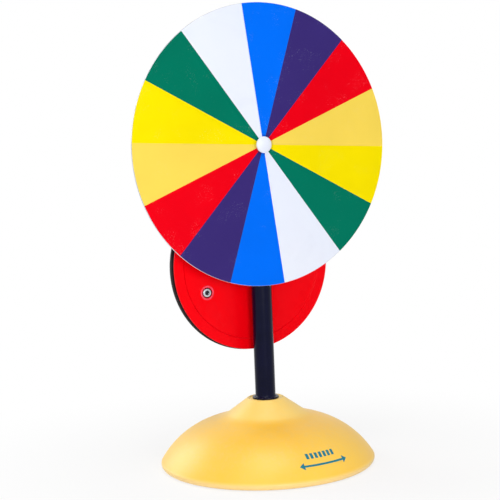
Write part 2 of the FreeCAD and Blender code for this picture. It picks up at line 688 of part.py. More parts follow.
def drive_belt():
    """Round rubber belt over both grooves, lying in their common plane."""
    large = size("wheel_radius") - belt_depth
    small = size("pulley_radius") - belt_depth
    centres = size("disc_axis_height") - axle_height
    body = doc.addObject("PartDesign::Body", "belt")
    route = body.newObject("Sketcher::SketchObject", "belt_route")
    route.AttachmentSupport = [(plane_of(body, "XY_Plane"), "")]
    route.MapMode = "FlatFace"
    lift = math.asin((number(large) - number(small)) / number(centres))
    up = FreeCAD.Vector(0, 0, 1)
    low_centre = FreeCAD.Vector(0, 0, 0)
    top_centre = FreeCAD.Vector(0, number(centres), 0)
    outward = FreeCAD.Vector(math.cos(lift), math.sin(lift), 0)
    low_right = low_centre + outward * number(large)
    top_right = top_centre + outward * number(small)
    low_left = FreeCAD.Vector(-low_right.x, low_right.y, 0)
    top_left = FreeCAD.Vector(-top_right.x, top_right.y, 0)
    low_circle = Part.Circle(low_centre, up, number(large))
    top_circle = Part.Circle(top_centre, up, number(small))
    bottom = -math.pi / 2
    route.addGeometry(Part.ArcOfCircle(low_circle, bottom, lift))
    route.addGeometry(Part.LineSegment(low_right, top_right))
    route.addGeometry(Part.ArcOfCircle(top_circle, lift, math.pi - lift))
    route.addGeometry(Part.LineSegment(top_left, low_left))
    route.addGeometry(Part.ArcOfCircle(low_circle, math.pi - lift, 1.5 * math.pi))
    for first, first_end, second, second_end in (
            (0, 2, 1, 1), (1, 2, 2, 1), (2, 2, 3, 1), (3, 2, 4, 1)):
        route.addConstraint(Sketcher.Constraint("Tangent", first, first_end, second, second_end))
    route.addConstraint(Sketcher.Constraint("Coincident", 4, 2, 0, 1))
    route.addConstraint(Sketcher.Constraint("Coincident", 0, 3, -1, 1))
    route.addConstraint(Sketcher.Constraint("Coincident", 4, 3, -1, 1))
    route.addConstraint(Sketcher.Constraint("PointOnObject", 0, 1, -2))
    route.addConstraint(Sketcher.Constraint("PointOnObject", 2, 3, -2))
    for name, constraint, expression in (
            ("large", Sketcher.Constraint("Radius", 0, number(large)), large),
            ("small", Sketcher.Constraint("Radius", 2, number(small)), small),
            ("centres", Sketcher.Constraint("DistanceY", -1, 1, 2, 3, number(centres)), centres)):
        index = route.addConstraint(constraint)
        route.renameConstraint(index, name)
        route.setExpression(f"Constraints.{name}", str(expression))
    section = body.newObject("Sketcher::SketchObject", "belt_section")
    section.AttachmentSupport = [(plane_of(body, "YZ_Plane"), "")]
    section.MapMode = "FlatFace"
    middle = FreeCAD.Vector(-number(large), 0, 0)
    section.addGeometry(Part.Circle(middle, up, number(size("belt_radius"))))
    section.addConstraint(Sketcher.Constraint("PointOnObject", 0, 3, -1))
    for name, constraint, expression in (
            ("reach", Sketcher.Constraint("DistanceX", 0, 3, -1, 1, number(large)), large),
            ("round", Sketcher.Constraint("Radius", 0, number(size("belt_radius"))),
             size("belt_radius"))):
        index = section.addConstraint(constraint)
        section.renameConstraint(index, name)
        section.setExpression(f"Constraints.{name}", str(expression))
    loop = body.newObject("PartDesign::AdditivePipe", "belt_loop")
    loop.Profile = section
    loop.Spine = route
    finish(place(body, TO_FRONT, y=groove_plane, z=axle_height), "drive_belt")


def crank_wheel():
    """Red front half of the wheel, black back plate, and the screws that join them."""
    face = size("hub_front")
    recessed = face + size("wheel_recess")
    web_back = recessed + size("wheel_web")
    middle = face + rim_width / 2
    ring_back = middle + half_floor
    rim = size("wheel_radius")
    bore = size("wheel_bush_radius") + size("fit_clearance")
    hub = size("hub_radius")
    ring_inner = groove_floor - size("wheel_ring_wall")
    blank = turned("wheel_blank", [
        (bore, 0),
        (hub, 0),
        (hub, recessed),
        (band_inner - size("wheel_band_slope"), recessed),
        (band_inner, face),
        (rim, face),
        (rim, middle - half_mouth),
        (groove_floor, middle - half_floor),
        (groove_floor, ring_back),
        (ring_inner, ring_back),
        (ring_inner, web_back),
        (hub, web_back),
        (hub, hub_length),
        (bore, hub_length),
    ])
    # The wheel's own Y axis points down once it faces the back, so heights change sign
    inner_depth = ring_back - recessed
    handle_boss = cylinder("wheel_handle_boss", size("handle_boss_radius"), inner_depth,
                           crank_x, -crank_z, recessed)
    ring_front = recessed - size("pocket_ring_height")
    pocket_ring = cylinder("wheel_pocket_ring", size("pocket_ring_radius"),
                           size("pocket_ring_height"), crank_x, -crank_z, ring_front)
    pocket = cylinder("wheel_pocket", size("pocket_radius"),
                      size("pocket_ring_height") + size("pocket_depth"),
                      crank_x, -crank_z, ring_front)
    shank_hole = cylinder("wheel_handle_hole", size("handle_screw_radius") + size("drill_clearance"),
                          hub_length, crank_x, -crank_z)
    count, circle, first = joining_screws
    plate_face = rim_width / 2 - half_floor - size("rib_height")
    grip_depth = inner_depth - size("joining_floor")

    def boss(name, x, y):
        return cylinder(name, size("joining_boss"), inner_depth, x, y, recessed)

    def pilot(name, x, y):
        radius = size("joining_screw_radius") + size("fit_clearance")
        return cylinder(name, radius, grip_depth, x, y, ring_back - grip_depth)

    bosses = around("wheel_boss", count, circle, first, boss)
    pilots = around("wheel_pilot", count, circle, first, pilot)
    moulding = union("wheel_moulding", [blank, handle_boss, pocket_ring] + bosses)
    wheel = cut("wheel", moulding, [pocket, shank_hole] + pilots)
    place(wheel, TO_BACK, y=hub_face, z=axle_height)
    finish(wheel, "crank_wheel")

    bush = washer("wheel_bush_body", size("wheel_bush_radius"),
                  size("sleeve_radius") + size("running_clearance"), hub_length)
    finish(place(bush, TO_BACK, y=hub_face, z=axle_height), "wheel_bush")

    plate_depth = rim_width / 2 - half_floor
    collar = size("back_collar_radius")
    slope = size("wheel_band_slope")
    hub_hole = hub + size("fit_clearance")
    plate = turned("back_blank", [
        (hub_hole, 0),
        (groove_floor, 0),
        (rim, half_mouth - half_floor),
        (rim, plate_depth),
        (band_inner, plate_depth),
        (band_inner - slope, plate_face),
        (collar + slope, plate_face),
        (collar, plate_depth),
        (hub_hole, plate_depth),
    ])
    ribs = []
    for index in range(int(number(size("rib_count")))):
        rib = doc.addObject("Part::Box", f"back_rib_{index + 1}")
        rib.setExpression("Length", str(band_inner - collar))
        rib.setExpression("Width", str(size("rib_width")))
        rib.setExpression("Height", str(size("rib_height")))
        place(rib, UPWARD, x=collar, y=-size("rib_width") / 2, z=plate_face)
        spoke = doc.addObject("Part::Compound", f"back_spoke_{index + 1}")
        spoke.Links = [rib]
        turn(spoke, Size(f"{index} * 360") / size("rib_count"))
        ribs.append(spoke)
    raised = cylinder("back_handle_boss", size("handle_boss_radius"),
                      plate_depth + size("handle_boss_height"), crank_x, -crank_z)
    body = union("back_moulding", [plate, raised] + ribs)

    def clear_hole(name, x, y):
        radius = size("joining_screw_radius") + size("drill_clearance")
        return cylinder(name, radius, hub_length, x, y, -hub_length / 2)

    holes = around("back_hole", count, circle, first, clear_hole)
    shank = cylinder("back_handle_hole", size("handle_screw_radius") + size("drill_clearance"),
                     hub_length, crank_x, -crank_z, -hub_length / 2)
    back = cut("back", body, holes + [shank])
    back_start = hub_face + ring_back
    finish(place(back, TO_BACK, y=back_start, z=axle_height), "wheel_back_plate")

    def screw(name, x, y):
        piece = headed(f"{name}_body", size("joining_screw_radius"), plate_face + grip_depth,
                       size("joining_head_radius"), size("joining_head_height"))
        head_end = back_start + plate_face + size("joining_head_height")
        place(piece, TO_FRONT, x, head_end, axle_height - y)
        return finish(piece, name)

    around("wheel_joining_screw", count, circle, first, screw)


def wheel_axle():
    """Axle bolt through the column, with saddle washer, spacer, sleeve, washer and nut."""
    height = axle_height
    bore = size("axle_radius") + size("drill_clearance")
    blank = washer("spacer_blank", size("spacer_radius"), bore, spacer_face)
    finish(place(saddle_cut("spacer", blank), TO_BACK, z=height), "axle_spacer")

    saddle_face = size("column_radius") + size("saddle_thickness")
    thin = washer("saddle_blank", size("saddle_radius"), bore, saddle_face)
    finish(place(saddle_cut("saddle", thin), TO_FRONT, z=height), "axle_saddle_washer")

    sleeve = washer("sleeve", size("sleeve_radius"), bore, sleeve_length)
    finish(place(sleeve, TO_BACK, y=spacer_face, z=height), "axle_sleeve")

    ring = washer("axle_ring", size("axle_washer_radius"), bore, size("axle_washer_thickness"))
    finish(place(ring, TO_BACK, y=sleeve_end, z=height), "axle_washer")

    nut_start = sleeve_end + size("axle_washer_thickness")
    lock = nut("axle_lock", size("axle_nut_flats"), size("axle_nut_height"),
               size("axle_radius") + size("fit_clearance"))
    finish(place(lock, TO_BACK, y=nut_start, z=height), "axle_nut")

    head = size("axle_head_height")
    end = nut_start + size("axle_nut_height") + size("thread_overrun")
    bolt = headed("axle_bolt_body", size("axle_radius"), saddle_face + end,
                  size("axle_head_radius"), head)
    finish(place(bolt, TO_BACK, y=-saddle_face - head, z=height), "axle_bolt")


def crank_handle():
    """Screw, washers, sleeve and nut that carry the grip, which turns on the sleeve."""
    x, z = crank_x, axle_height + crank_z
    bore = size("handle_screw_radius") + size("drill_clearance")
    thin = size("handle_washer_thickness")
    head_seat = wheel_face + size("wheel_recess") + size("pocket_depth")
    boss_back = wheel_back + size("handle_boss_height")
    sleeve_start = boss_back + thin
    sleeve_stop = sleeve_start + size("handle_sleeve_length")
    nut_start = sleeve_stop + thin
    screw_end = nut_start + size("handle_nut_height") + size("thread_overrun")
    head = size("handle_head_height")
    radius = size("handle_screw_radius")
    rod = headed("handle_rod", radius, screw_end - head_seat, size("handle_head_radius"), head)
    socket = hexagon("handle_socket", size("handle_socket_flats"), size("handle_socket_depth"))
    screw = cut("handle_screw_body", rod, [socket])
    finish(place(screw, TO_BACK, x, head_seat - head, z), "handle_screw")

    inner = washer("handle_ring", size("handle_washer_radius"), bore, thin)
    finish(place(inner, TO_BACK, x, boss_back, z), "handle_inner_washer")

    sleeve = washer("handle_tube", size("handle_sleeve_radius"), bore,
                    size("handle_sleeve_length"))
    finish(place(sleeve, TO_BACK, x, sleeve_start, z), "handle_sleeve")

    outer = washer("handle_end_ring", size("end_washer_radius"), bore, thin)
    finish(place(outer, TO_BACK, x, sleeve_stop, z), "handle_end_washer")

    lock = nut("handle_lock", size("handle_nut_flats"), size("handle_nut_height"),
               radius + size("fit_clearance"))
    finish(place(lock, TO_BACK, x, nut_start, z), "handle_nut")

    grip_start = sleeve_start + size("end_float")
    shoulder_at = sleeve_stop - size("end_float") - grip_start
    grip_length = screw_end + size("plug_gap") + size("plug_height") - grip_start
    grip_bore = size("handle_sleeve_radius") + size("running_clearance")
    bevel = size("grip_chamfer")
    neck, tail = size("grip_neck_radius"), size("grip_end_radius")
    pocket = size("grip_pocket_radius")
    grip = turned("grip", [
        (grip_bore, 0),
        (neck - bevel, 0),
        (neck, bevel),
        curve(tail, grip_length - bevel, 1, size("grip_bulge")),
        (tail - bevel, grip_length),
        (pocket, grip_length),
        (pocket, shoulder_at),
        (grip_bore, shoulder_at),
    ])
    finish(place(grip, TO_BACK, x, grip_start, z), "handle_grip")

    plug_radius = pocket - size("fit_clearance")
    plug = turned("plug", [
        (0, 0),
        (plug_radius, 0),
        (plug_radius, size("plug_height")),
        crown(size("plug_height") + size("plug_crown")),
    ])
    plug_start = grip_start + grip_length - size("plug_height")
    finish(place(plug, TO_BACK, x, plug_start, z), "handle_end_plug")


base_dome()
base_insides()
column_group()
shaft_bushes()
disc_group()
drive_belt()
crank_wheel()
wheel_axle()
crank_handle()
doc.recompute()

faults = [o.Label for o in doc.Objects if {"Invalid", "Error"} & set(o.State)]
if faults:
    raise RuntimeError(f"failed objects: {faults}")
for node in nodes:
    if node.Shape.isNull() or not node.Shape.isValid() or not node.Shape.Solids:
        raise RuntimeError(f"bad shape: {node.Label}")

os.makedirs("parts", exist_ok=True)
for node in nodes:
    node.Shape.exportStep(f"parts/{node.Label}.step")
    box = node.Shape.BoundBox
    print(f"{node.Label}: {len(node.Shape.Solids)} solid, {node.Shape.Volume:.0f} mm3,"
          f" y {box.YMin:.2f} to {box.YMax:.2f}, z {box.ZMin:.2f} to {box.ZMax:.2f}")
print(len(nodes), "nodes")
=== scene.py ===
# %% [markdown]
# # A hand-cranked colour disc
# A white disc with two sets of coloured sectors stands on a dark column over a yellow domed base.
# A red wheel behind the column is cranked by hand, and a round belt spins the disc so fast that
# its colours blend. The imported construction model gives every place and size, and this lesson
# dresses it: smooth, edged pieces stand for the plain solids, each with its own finish.

# %% Load the fixed frame
import bpy
import math
from mathutils import Matrix, Vector


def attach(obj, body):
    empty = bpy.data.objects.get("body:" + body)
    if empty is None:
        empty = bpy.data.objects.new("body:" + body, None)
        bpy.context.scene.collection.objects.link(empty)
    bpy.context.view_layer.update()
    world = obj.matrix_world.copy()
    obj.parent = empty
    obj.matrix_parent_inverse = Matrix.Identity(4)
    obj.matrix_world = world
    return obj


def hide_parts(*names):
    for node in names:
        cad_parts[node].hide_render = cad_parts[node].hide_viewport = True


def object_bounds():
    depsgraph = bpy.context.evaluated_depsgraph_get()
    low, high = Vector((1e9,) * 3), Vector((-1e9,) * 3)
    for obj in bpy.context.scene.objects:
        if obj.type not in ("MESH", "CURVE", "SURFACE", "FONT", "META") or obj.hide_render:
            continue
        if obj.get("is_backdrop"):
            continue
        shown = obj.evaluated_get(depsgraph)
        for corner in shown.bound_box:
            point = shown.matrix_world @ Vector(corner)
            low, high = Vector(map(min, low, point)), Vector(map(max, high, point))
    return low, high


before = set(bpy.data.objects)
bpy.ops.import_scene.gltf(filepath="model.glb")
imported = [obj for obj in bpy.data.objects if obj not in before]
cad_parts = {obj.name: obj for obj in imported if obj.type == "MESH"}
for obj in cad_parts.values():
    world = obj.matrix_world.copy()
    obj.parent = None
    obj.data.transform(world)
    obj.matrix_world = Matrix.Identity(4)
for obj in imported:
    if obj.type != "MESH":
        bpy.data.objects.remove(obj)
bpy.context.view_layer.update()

MM = 0.001

# %% [markdown]
# ## The camera
# The picture was taken from the left of the disc's axis and a little above the table. The eye
# point and turn below come from fitting the disc's outline, the wheel's edge and the base to the
# picture. A camera looks along its own -Z, so its matrix is built from three directions: right, up
# and back. The small shift keeps the uprights as straight as they are in the picture.

# %% Place the camera
EYE = Vector((-0.4891, -0.9320, 0.2769))
AZIMUTH, ELEVATION, ROLL = (math.radians(a) for a in (-27.317, 3.423, -2.215))
LENS, SENSOR, SHIFT = 92.31, 36, -0.088
back = Vector((math.sin(AZIMUTH) * math.cos(ELEVATION),
               -math.cos(AZIMUTH) * math.cos(ELEVATION), math.sin(ELEVATION)))
level = Vector((math.cos(AZIMUTH), math.sin(AZIMUTH), 0))
upright = back.cross(level)
right = level * math.cos(ROLL) + upright * math.sin(ROLL)
above = upright * math.cos(ROLL) - level * math.sin(ROLL)
bpy.ops.object.camera_add(location=EYE)
camera = bpy.context.object
camera.name = "picture_camera"
camera.matrix_world = Matrix.Translation(EYE) @ Matrix((right, above, back)).transposed().to_4x4()
camera.data.lens, camera.data.sensor_width, camera.data.shift_y = LENS, SENSOR, SHIFT
bpy.context.scene.camera = camera
bpy.context.scene.view_settings.view_transform = "Standard"
print("camera looks along", [round(v, 3) for v in -back])

# %% [markdown]
# ## Floor and light
# The picture is a cut-out on pure white. A pale floor near the base keeps the object's shadow, and
# further out it turns into plain white for the camera, so that no horizon shows. The world is
# white only where the camera or a reflection sees it, and lights the object more softly. The main
# lamp stands in front and to the left, where it leaves a thin shadow of the column on the wheel. A
# weak one nearby on the left makes that side brighter, and two more light the base and rear.
# Shader nodes are added with one short helper, which the finishes use too.

# %% A short way to add nodes
def add(tree, kind, inputs=(), **settings):
    """Add a shader node, change its settings, and set or link its inputs."""
    node = tree.nodes.new("ShaderNode" + kind)
    for name, value in settings.items():
        setattr(node, name, value)
    for name, value in dict(inputs).items():
        if isinstance(value, bpy.types.NodeSocket):
            tree.links.new(value, node.inputs[name])
        else:
            node.inputs[name].default_value = value
    return node


def ramp(tree, value, low, high, to_low=0.0, to_high=1.0):
    """Stretch a value from low..high to to_low..to_high with soft ends."""
    return add(tree, "MapRange", {"Value": value, "From Min": low, "From Max": high,
                                  "To Min": to_low, "To Max": to_high},
               interpolation_type="SMOOTHSTEP").outputs[0]


def product(tree, first, second):
    """Two values multiplied."""
    return add(tree, "Math", {0: first, 1: second}, operation="MULTIPLY").outputs[0]


def seen_directly(tree):
    """A mask of the rays that should find the plain white background."""
    path = add(tree, "LightPath").outputs
    seen = path["Is Camera Ray"]
    for ray in ("Is Glossy Ray", "Is Transmission Ray"):
        seen = add(tree, "Math", {0: seen, 1: path[ray]}, operation="MAXIMUM").outputs[0]
    return seen


def show_either(tree, mask, near, far, end):
    """Show the near shader where the mask is 0 and the far one where it is 1."""
    mix = add(tree, "MixShader", {0: mask, 1: near, 2: far})
    tree.links.new(mix.outputs[0], tree.nodes[end].inputs["Surface"])


# %% Lay the floor
FLOOR_SIZE, FLOOR_HEIGHT = 14, -0.1 * MM
WHITE_FROM, WHITE_AT, WHITE_NEAR = 0.10, 0.34, 0.78
bpy.ops.mesh.primitive_plane_add(size=FLOOR_SIZE, location=(0, 0, FLOOR_HEIGHT))
floor = bpy.context.object
floor.name = "floor"
floor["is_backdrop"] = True

floor_paper = bpy.data.materials.new("floor_paper")
floor_paper.use_nodes = True
tree = floor_paper.node_tree
paper = tree.nodes["Principled BSDF"]
paper.inputs["Base Color"].default_value = (0.92, 0.92, 0.92, 1)
paper.inputs["Roughness"].default_value = 0.7
paper.inputs["Specular IOR Level"].default_value = 0.1
distance = add(tree, "VectorMath", {0: add(tree, "TexCoord").outputs["Object"]},
               operation="LENGTH").outputs["Value"]
fade = ramp(tree, distance, WHITE_FROM, WHITE_AT, WHITE_NEAR)
show_either(tree, product(tree, fade, seen_directly(tree)), paper.outputs["BSDF"],
            add(tree, "Emission").outputs[0], "Material Output")
floor.data.materials.append(floor_paper)
print("floor is plain white from", WHITE_AT, "m")

# %% Light the stage
ROOM_LIGHT = 0.28
world = bpy.data.worlds.new("white_room")
bpy.context.scene.world = world
world.use_nodes = True
tree = world.node_tree
room = tree.nodes["Background"]
room.inputs["Color"].default_value = (1.0, 0.99, 0.98, 1)
room.inputs["Strength"].default_value = ROOM_LIGHT
white = add(tree, "Background", {"Color": (1, 1, 1, 1), "Strength": 1.0})
show_either(tree, seen_directly(tree), room.outputs[0], white.outputs[0], "World Output")


def lamp(name, place, target, power, width, height):
    """A soft rectangular lamp that faces the target."""
    bpy.ops.object.light_add(type="AREA", location=place)
    light = bpy.context.object
    light.name = name
    light.rotation_euler = (Vector(target) - Vector(place)).to_track_quat("-Z", "Y").to_euler()
    light.data.shape = "RECTANGLE"
    light.data.size, light.data.size_y = width, height
    light.data.energy = power
    light.visible_camera = False


lamp("key_lamp", (-0.34, -1.45, 0.34), (0, 0, 0.2), 8.4, 0.36, 0.36)
lamp("left_lamp", (-0.52, -0.44, 0.34), (0, 0, 0.22), 0.65, 0.5, 0.5)
lamp("top_lamp", (-0.2, -0.42, 1.7), (0, 0, 0.1), 10, 0.7, 0.7)
lamp("back_lamp", (-0.9, 1.6, 0.9), (0, 0, 0.2), 18, 1.2, 1.2)

# %% [markdown]
# ## Turned pieces
# Nearly everything here is round, as if made on a lathe, so one helper does the turning. It starts
# from a single point, draws half of the piece's section with Extrude, and sweeps it round with
# Spin. Arcs are given by their two ends and how far they rise, as a draughtsman would give them.
# Afterwards doubles are merged, the faces are turned outwards, and the piece is laid along its
# real axis.

# %% A point, an arc and a lathe
MERGE = MM / 500
UPWARD, TO_BACK, TO_FRONT = 0.0, -math.pi / 2, math.pi / 2


def arc(start, end, rise, steps):
    """Points after start, up to end, on an arc that rises to the right of the way."""
    (x0, y0), (x1, y1) = start, end
    chord = math.hypot(x1 - x0, y1 - y0)
    ahead = Vector(((x1 - x0) / chord, (y1 - y0) / chord))
    side = Vector((ahead.y, -ahead.x))
    radius = (chord * chord / 4 + rise * rise) / (2 * rise)
    half = math.asin(min(1, chord / 2 / abs(radius)))
    centre = Vector(((x0 + x1) / 2, (y0 + y1) / 2)) + side * (rise - radius)
    points = []
    for step in range(1, steps + 1):
        angle = -half + 2 * half * step / steps
        point = centre + side * radius * math.cos(angle) + ahead * abs(radius) * math.sin(angle)
        points.append((point.x, point.y))
    return points


def crown(radius, edge, rise, steps=10):
    """Points of a shallow dome from its edge up to the axis."""
    return arc((radius, edge), (-radius, edge), rise, steps * 2)[:steps - 1] + [(0, edge + rise)]


def start_piece(name):
    """One vertex at the origin, in edit mode, from which the piece is drawn."""
    bpy.ops.mesh.primitive_plane_add(size=MM)
    piece = bpy.context.object
    piece.name = piece.data.name = name
    bpy.ops.object.mode_set(mode="EDIT")
    bpy.ops.mesh.merge(type="CENTER")
    return piece


def draw_outline(outline):
    """Draw (radius, height) points in mm with Extrude, closed unless they start on the axis."""
    first = outline[0]
    bpy.ops.transform.translate(value=(first[0] * MM, 0, first[1] * MM))
    route = outline + [first] if first[0] > 0 else outline
    for (r0, h0), (r1, h1) in zip(route, route[1:]):
        move = ((r1 - r0) * MM, 0, (h1 - h0) * MM)
        bpy.ops.mesh.extrude_vertices_move(TRANSFORM_OT_translate={"value": move})
    bpy.ops.mesh.select_all(action="SELECT")


def tidy_shell():
    """Merge the seam and the poles, drop wires, and face everything outwards."""
    bpy.ops.mesh.select_all(action="SELECT")
    bpy.ops.mesh.remove_doubles(threshold=MERGE)
    bpy.ops.mesh.delete_loose(use_faces=False)
    bpy.ops.mesh.select_all(action="SELECT")
    bpy.ops.mesh.normals_make_consistent(inside=False)
    bpy.ops.object.mode_set(mode="OBJECT")


def pick(piece):
    """Select this piece alone and make it the active one."""
    bpy.ops.object.select_all(action="DESELECT")
    piece.select_set(True)
    bpy.context.view_layer.objects.active = piece


def edit_all():
    """Open the active piece for editing, with everything in it selected."""
    bpy.ops.object.mode_set(mode="EDIT")
    bpy.ops.mesh.select_all(action="SELECT")


def bake_transform():
    """Put the selected piece's place, turn and scale into its mesh."""
    bpy.ops.object.transform_apply(location=True, rotation=True, scale=True)


def settle(piece, facing=UPWARD, place=(0, 0, 0), turn=0.0):
    """Turn the piece about its own axis, then lay that axis down at its place."""
    pick(piece)
    if turn:
        piece.rotation_euler.z = turn
        bake_transform()
    piece.rotation_euler.x = facing
    piece.location = [v * MM for v in place]
    bake_transform()
    return piece


def turned(name, outline, sides=96, facing=UPWARD, place=(0, 0, 0)):
    """A piece turned from a closed outline of (radius, height) points."""
    piece = start_piece(name)
    draw_outline(outline)
    bpy.ops.mesh.spin(steps=sides, angle=2 * math.pi, center=(0, 0, 0), axis=(0, 0, 1))
    tidy_shell()
    return settle(piece, facing, place)


# %% Modifiers, shading and riding
def apply_modifiers(piece):
    """Apply the piece's modifiers in their order."""
    bpy.context.view_layer.objects.active = piece
    for modifier in list(piece.modifiers):
        bpy.ops.object.modifier_apply(modifier=modifier.name)


def soften(piece, width, segments=2, angle=28):
    """Round the piece's edges, as any moulded or machined edge is."""
    bevel = piece.modifiers.new("soft_edges", "BEVEL")
    bevel.width = width * MM
    bevel.segments = segments
    bevel.limit_method = "ANGLE"
    bevel.angle_limit = math.radians(angle)
    apply_modifiers(piece)
    return piece


def carve(piece, cutter, operation="DIFFERENCE"):
    """Cut the piece with another, or keep what both share, and remove the cutter."""
    boolean = piece.modifiers.new("carve", "BOOLEAN")
    boolean.operation = operation
    boolean.solver = "EXACT"
    boolean.object = cutter
    apply_modifiers(piece)
    bpy.data.objects.remove(cutter)
    return piece


def join(piece, *others):
    """Join the others into the piece."""
    pick(piece)
    for other in others:
        other.select_set(True)
    bpy.ops.object.join()
    return piece


def copied(piece, name):
    """A copy with a mesh of its own."""
    pick(piece)
    bpy.ops.object.duplicate(linked=False)
    twin = bpy.context.object
    twin.name = twin.data.name = name
    return twin


made = []


def dress(piece, body, slot, *nodes, sharp=32):
    """Shade the finished piece, let it ride its body and stand for its nodes."""
    pick(piece)
    bpy.ops.object.shade_smooth_by_angle(angle=math.radians(sharp))
    even = piece.modifiers.new("even_normals", "WEIGHTED_NORMAL")
    even.keep_sharp = True
    apply_modifiers(piece)
    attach(piece, body)
    if nodes:
        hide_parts(*nodes)
    made.append((piece, slot))
    size = [round(v / MM, 1) for v in piece.dimensions]
    print(f"{piece.name}: {size} mm, {len(piece.data.polygons)} faces, rides {body}")
    return piece


def turn_and_dress(name, outline, body, slot, *nodes, soft=0.25, segments=2, **turning):
    """Turn a piece, soften its edges and dress it."""
    piece = soften(turned(name, outline, **turning), soft, segments)
    return dress(piece, body, slot, *nodes)


# %% [markdown]
# ## Domed base
# The base is one glossy yellow moulding: a rolled rim, a broad dome, and a flared neck with a bead
# round the column's seat. It is a shell with a sleeve inside, so the outline runs up the outside,
# over the bead, down the sleeve and back along the inside. Turning it keeps the highlights
# unbroken, which a subdivided box or a stack of cones couldn't do.

# %% Turn the dome
NECK_TOP, SOCKET_BORE, SOCKET_FOOT, WALL = 54.4, 8.37, 14.0, 3.0
rim_foot, rim_top, inner_rim = (85.5, 0.5), (88.4, 5.0), (82.5, 5.0)
crease, neck_foot, neck_top = (44.5, 37.5), (32.0, 42.7), (15.8, NECK_TOP)
inner_crease, inner_neck = ((x, z - WALL) for x, z in (crease, neck_foot))
dome_outline = [(inner_rim[0], rim_foot[1]), rim_foot]
dome_outline += arc(rim_foot, rim_top, 1.03, 8)
dome_outline += arc(rim_top, crease, 5.4, 40)
dome_outline += arc(crease, neck_foot, -0.5, 8)
dome_outline += [neck_top]
dome_outline += arc(neck_top, (13.4, NECK_TOP), 0.6, 6)
dome_outline += [(SOCKET_BORE, NECK_TOP), (SOCKET_BORE, SOCKET_FOOT),
                 (SOCKET_BORE + WALL, SOCKET_FOOT), (SOCKET_BORE + WALL, NECK_TOP - WALL),
                 inner_neck, inner_crease]
dome_outline += arc(inner_crease, inner_rim, -5.4, 12)
dome = turned("dome", dome_outline, sides=288)
soften(dome, 0.35, segments=2, angle=22)
dress(dome, "stand", "base_yellow", "base_dome")

# %% [markdown]
# ## Under the base
# Turned over, the object shows a black plate held by four screws, and a ring of soft rubber that
# keeps it from sliding. The plate has shallow moulded rings, and the rubber has three grooves so
# that it grips. A cross recess is cut into each screw head with two crossed bars.

# %% Base plate and foot ring
plate_outline = [(10.5, 4.0), (10.5, 2.0), (20, 2.0), (20.6, 2.5), (25, 2.5), (25.6, 2.0),
                 (44, 2.0), (44.6, 2.5), (49, 2.5), (49.6, 2.0), (82.2, 2.0), (82.2, 4.0)]
turn_and_dress("bottom_plate", plate_outline, "stand", "black_plastic", "base_plate",
               sides=160)

ring_outline = [(62, 2.0), (62, 0.0)]
for groove in (64.2, 67.2, 70.2):
    ring_outline += [(groove, 0.0), (groove + 0.25, 0.6), (groove + 0.85, 0.6), (groove + 1.1, 0.0)]
ring_outline += [(73, 0.0), (73, 2.0)]
turn_and_dress("rubber_foot", ring_outline, "stand", "foot_rubber", "foot_ring",
               soft=0.12, sides=160)


# %% Screws with a cross recess
def cross_screw(name, head, shank, length, facing, place):
    """A pan-head screw. Its axis points out of the head, whose underside is at the place."""
    radius, height = head
    shoulder = height * 0.45
    outline = [(0, -length), (shank * 0.7, -length), (shank, 0.8 - length), (shank, 0),
               (radius, 0), (radius, shoulder)]
    outline += arc((radius, shoulder), (radius * 0.45, height), 0.22, 4)
    outline += [(0, height)]
    screw = soften(turned(name, outline, sides=40), 0.08)
    for quarter in (0, math.pi / 2):
        bpy.ops.mesh.primitive_cube_add(size=MM, location=(0, 0, height * MM),
                                        rotation=(0, 0, quarter))
        bar = bpy.context.object
        bar.scale = (radius * 1.1, radius * 0.22, height * 1.2)
        bake_transform()
        edit_all()
        bpy.ops.mesh.bevel(offset=radius * 0.04 * MM, segments=1)
        bpy.ops.object.mode_set(mode="OBJECT")
        carve(screw, bar)
    return settle(screw, facing, place)


def four_screws(name, node, body, places, *shape):
    """Four screws of one shape, of which the last three are copies."""
    first = cross_screw(f"{name}_1", *shape)
    screws = [first] + [copied(first, f"{name}_{number}") for number in (2, 3, 4)]
    for number, (screw, place) in enumerate(zip(screws, places), start=1):
        settle(screw, UPWARD, place)
        dress(screw, body, "zinc_steel", f"{node}_{number}")


PLATE_SCREW = 54.09
corners = [(x * PLATE_SCREW, y * PLATE_SCREW, 0)
           for x, y in ((1, 1), (-1, 1), (-1, -1), (1, -1))]
four_screws("bottom_screw", "base_plate_screw", "stand", corners,
            (2.7, 1.4), 1.5, 9.0, math.pi, (0, 0, 2.0))

# %% [markdown]
# ## Column
# The column is a steel tube with dark lacquer. A collar pressed on its foot stands on the dome's
# neck, and a domed plastic cap closes its top. The collar belongs to the same outline, because the
# lacquer runs over both.

# %% Turn the column and its cap
COLUMN_RADIUS, COLUMN_BORE, COLUMN_TOP, CAP_EDGE = 8.35, 6.35, 279, 280.2
collar_top = (10.9, 55.9)
column_outline = [(COLUMN_BORE, 15), (COLUMN_RADIUS, 15), (COLUMN_RADIUS, NECK_TOP),
                  (collar_top[0], NECK_TOP), collar_top]
column_outline += arc(collar_top, (COLUMN_RADIUS, 57.6), -0.8, 6)
column_outline += [(COLUMN_RADIUS, COLUMN_TOP), (COLUMN_BORE, COLUMN_TOP)]
turn_and_dress("tube", column_outline, "stand", "column_paint", "column", soft=0.3, sides=128)

cap_outline = [(0, 273), (6.33, 273), (6.33, COLUMN_TOP), (COLUMN_RADIUS, COLUMN_TOP),
               (COLUMN_RADIUS, CAP_EDGE)]
cap_outline += crown(COLUMN_RADIUS, CAP_EDGE, 1.4)
turn_and_dress("tube_cap", cap_outline, "stand", "black_plastic", "column_cap", soft=0.3)

# %% [markdown]
# ## Colour disc
# The disc is a sheet of white plastic with rounded edges. Twelve printed films lie on its face:
# two sets of six colours, with a white gap between the sets. One film is swept through its angle
# by Spin from its thin section, its two ends are filled, and the others are turned copies of it.

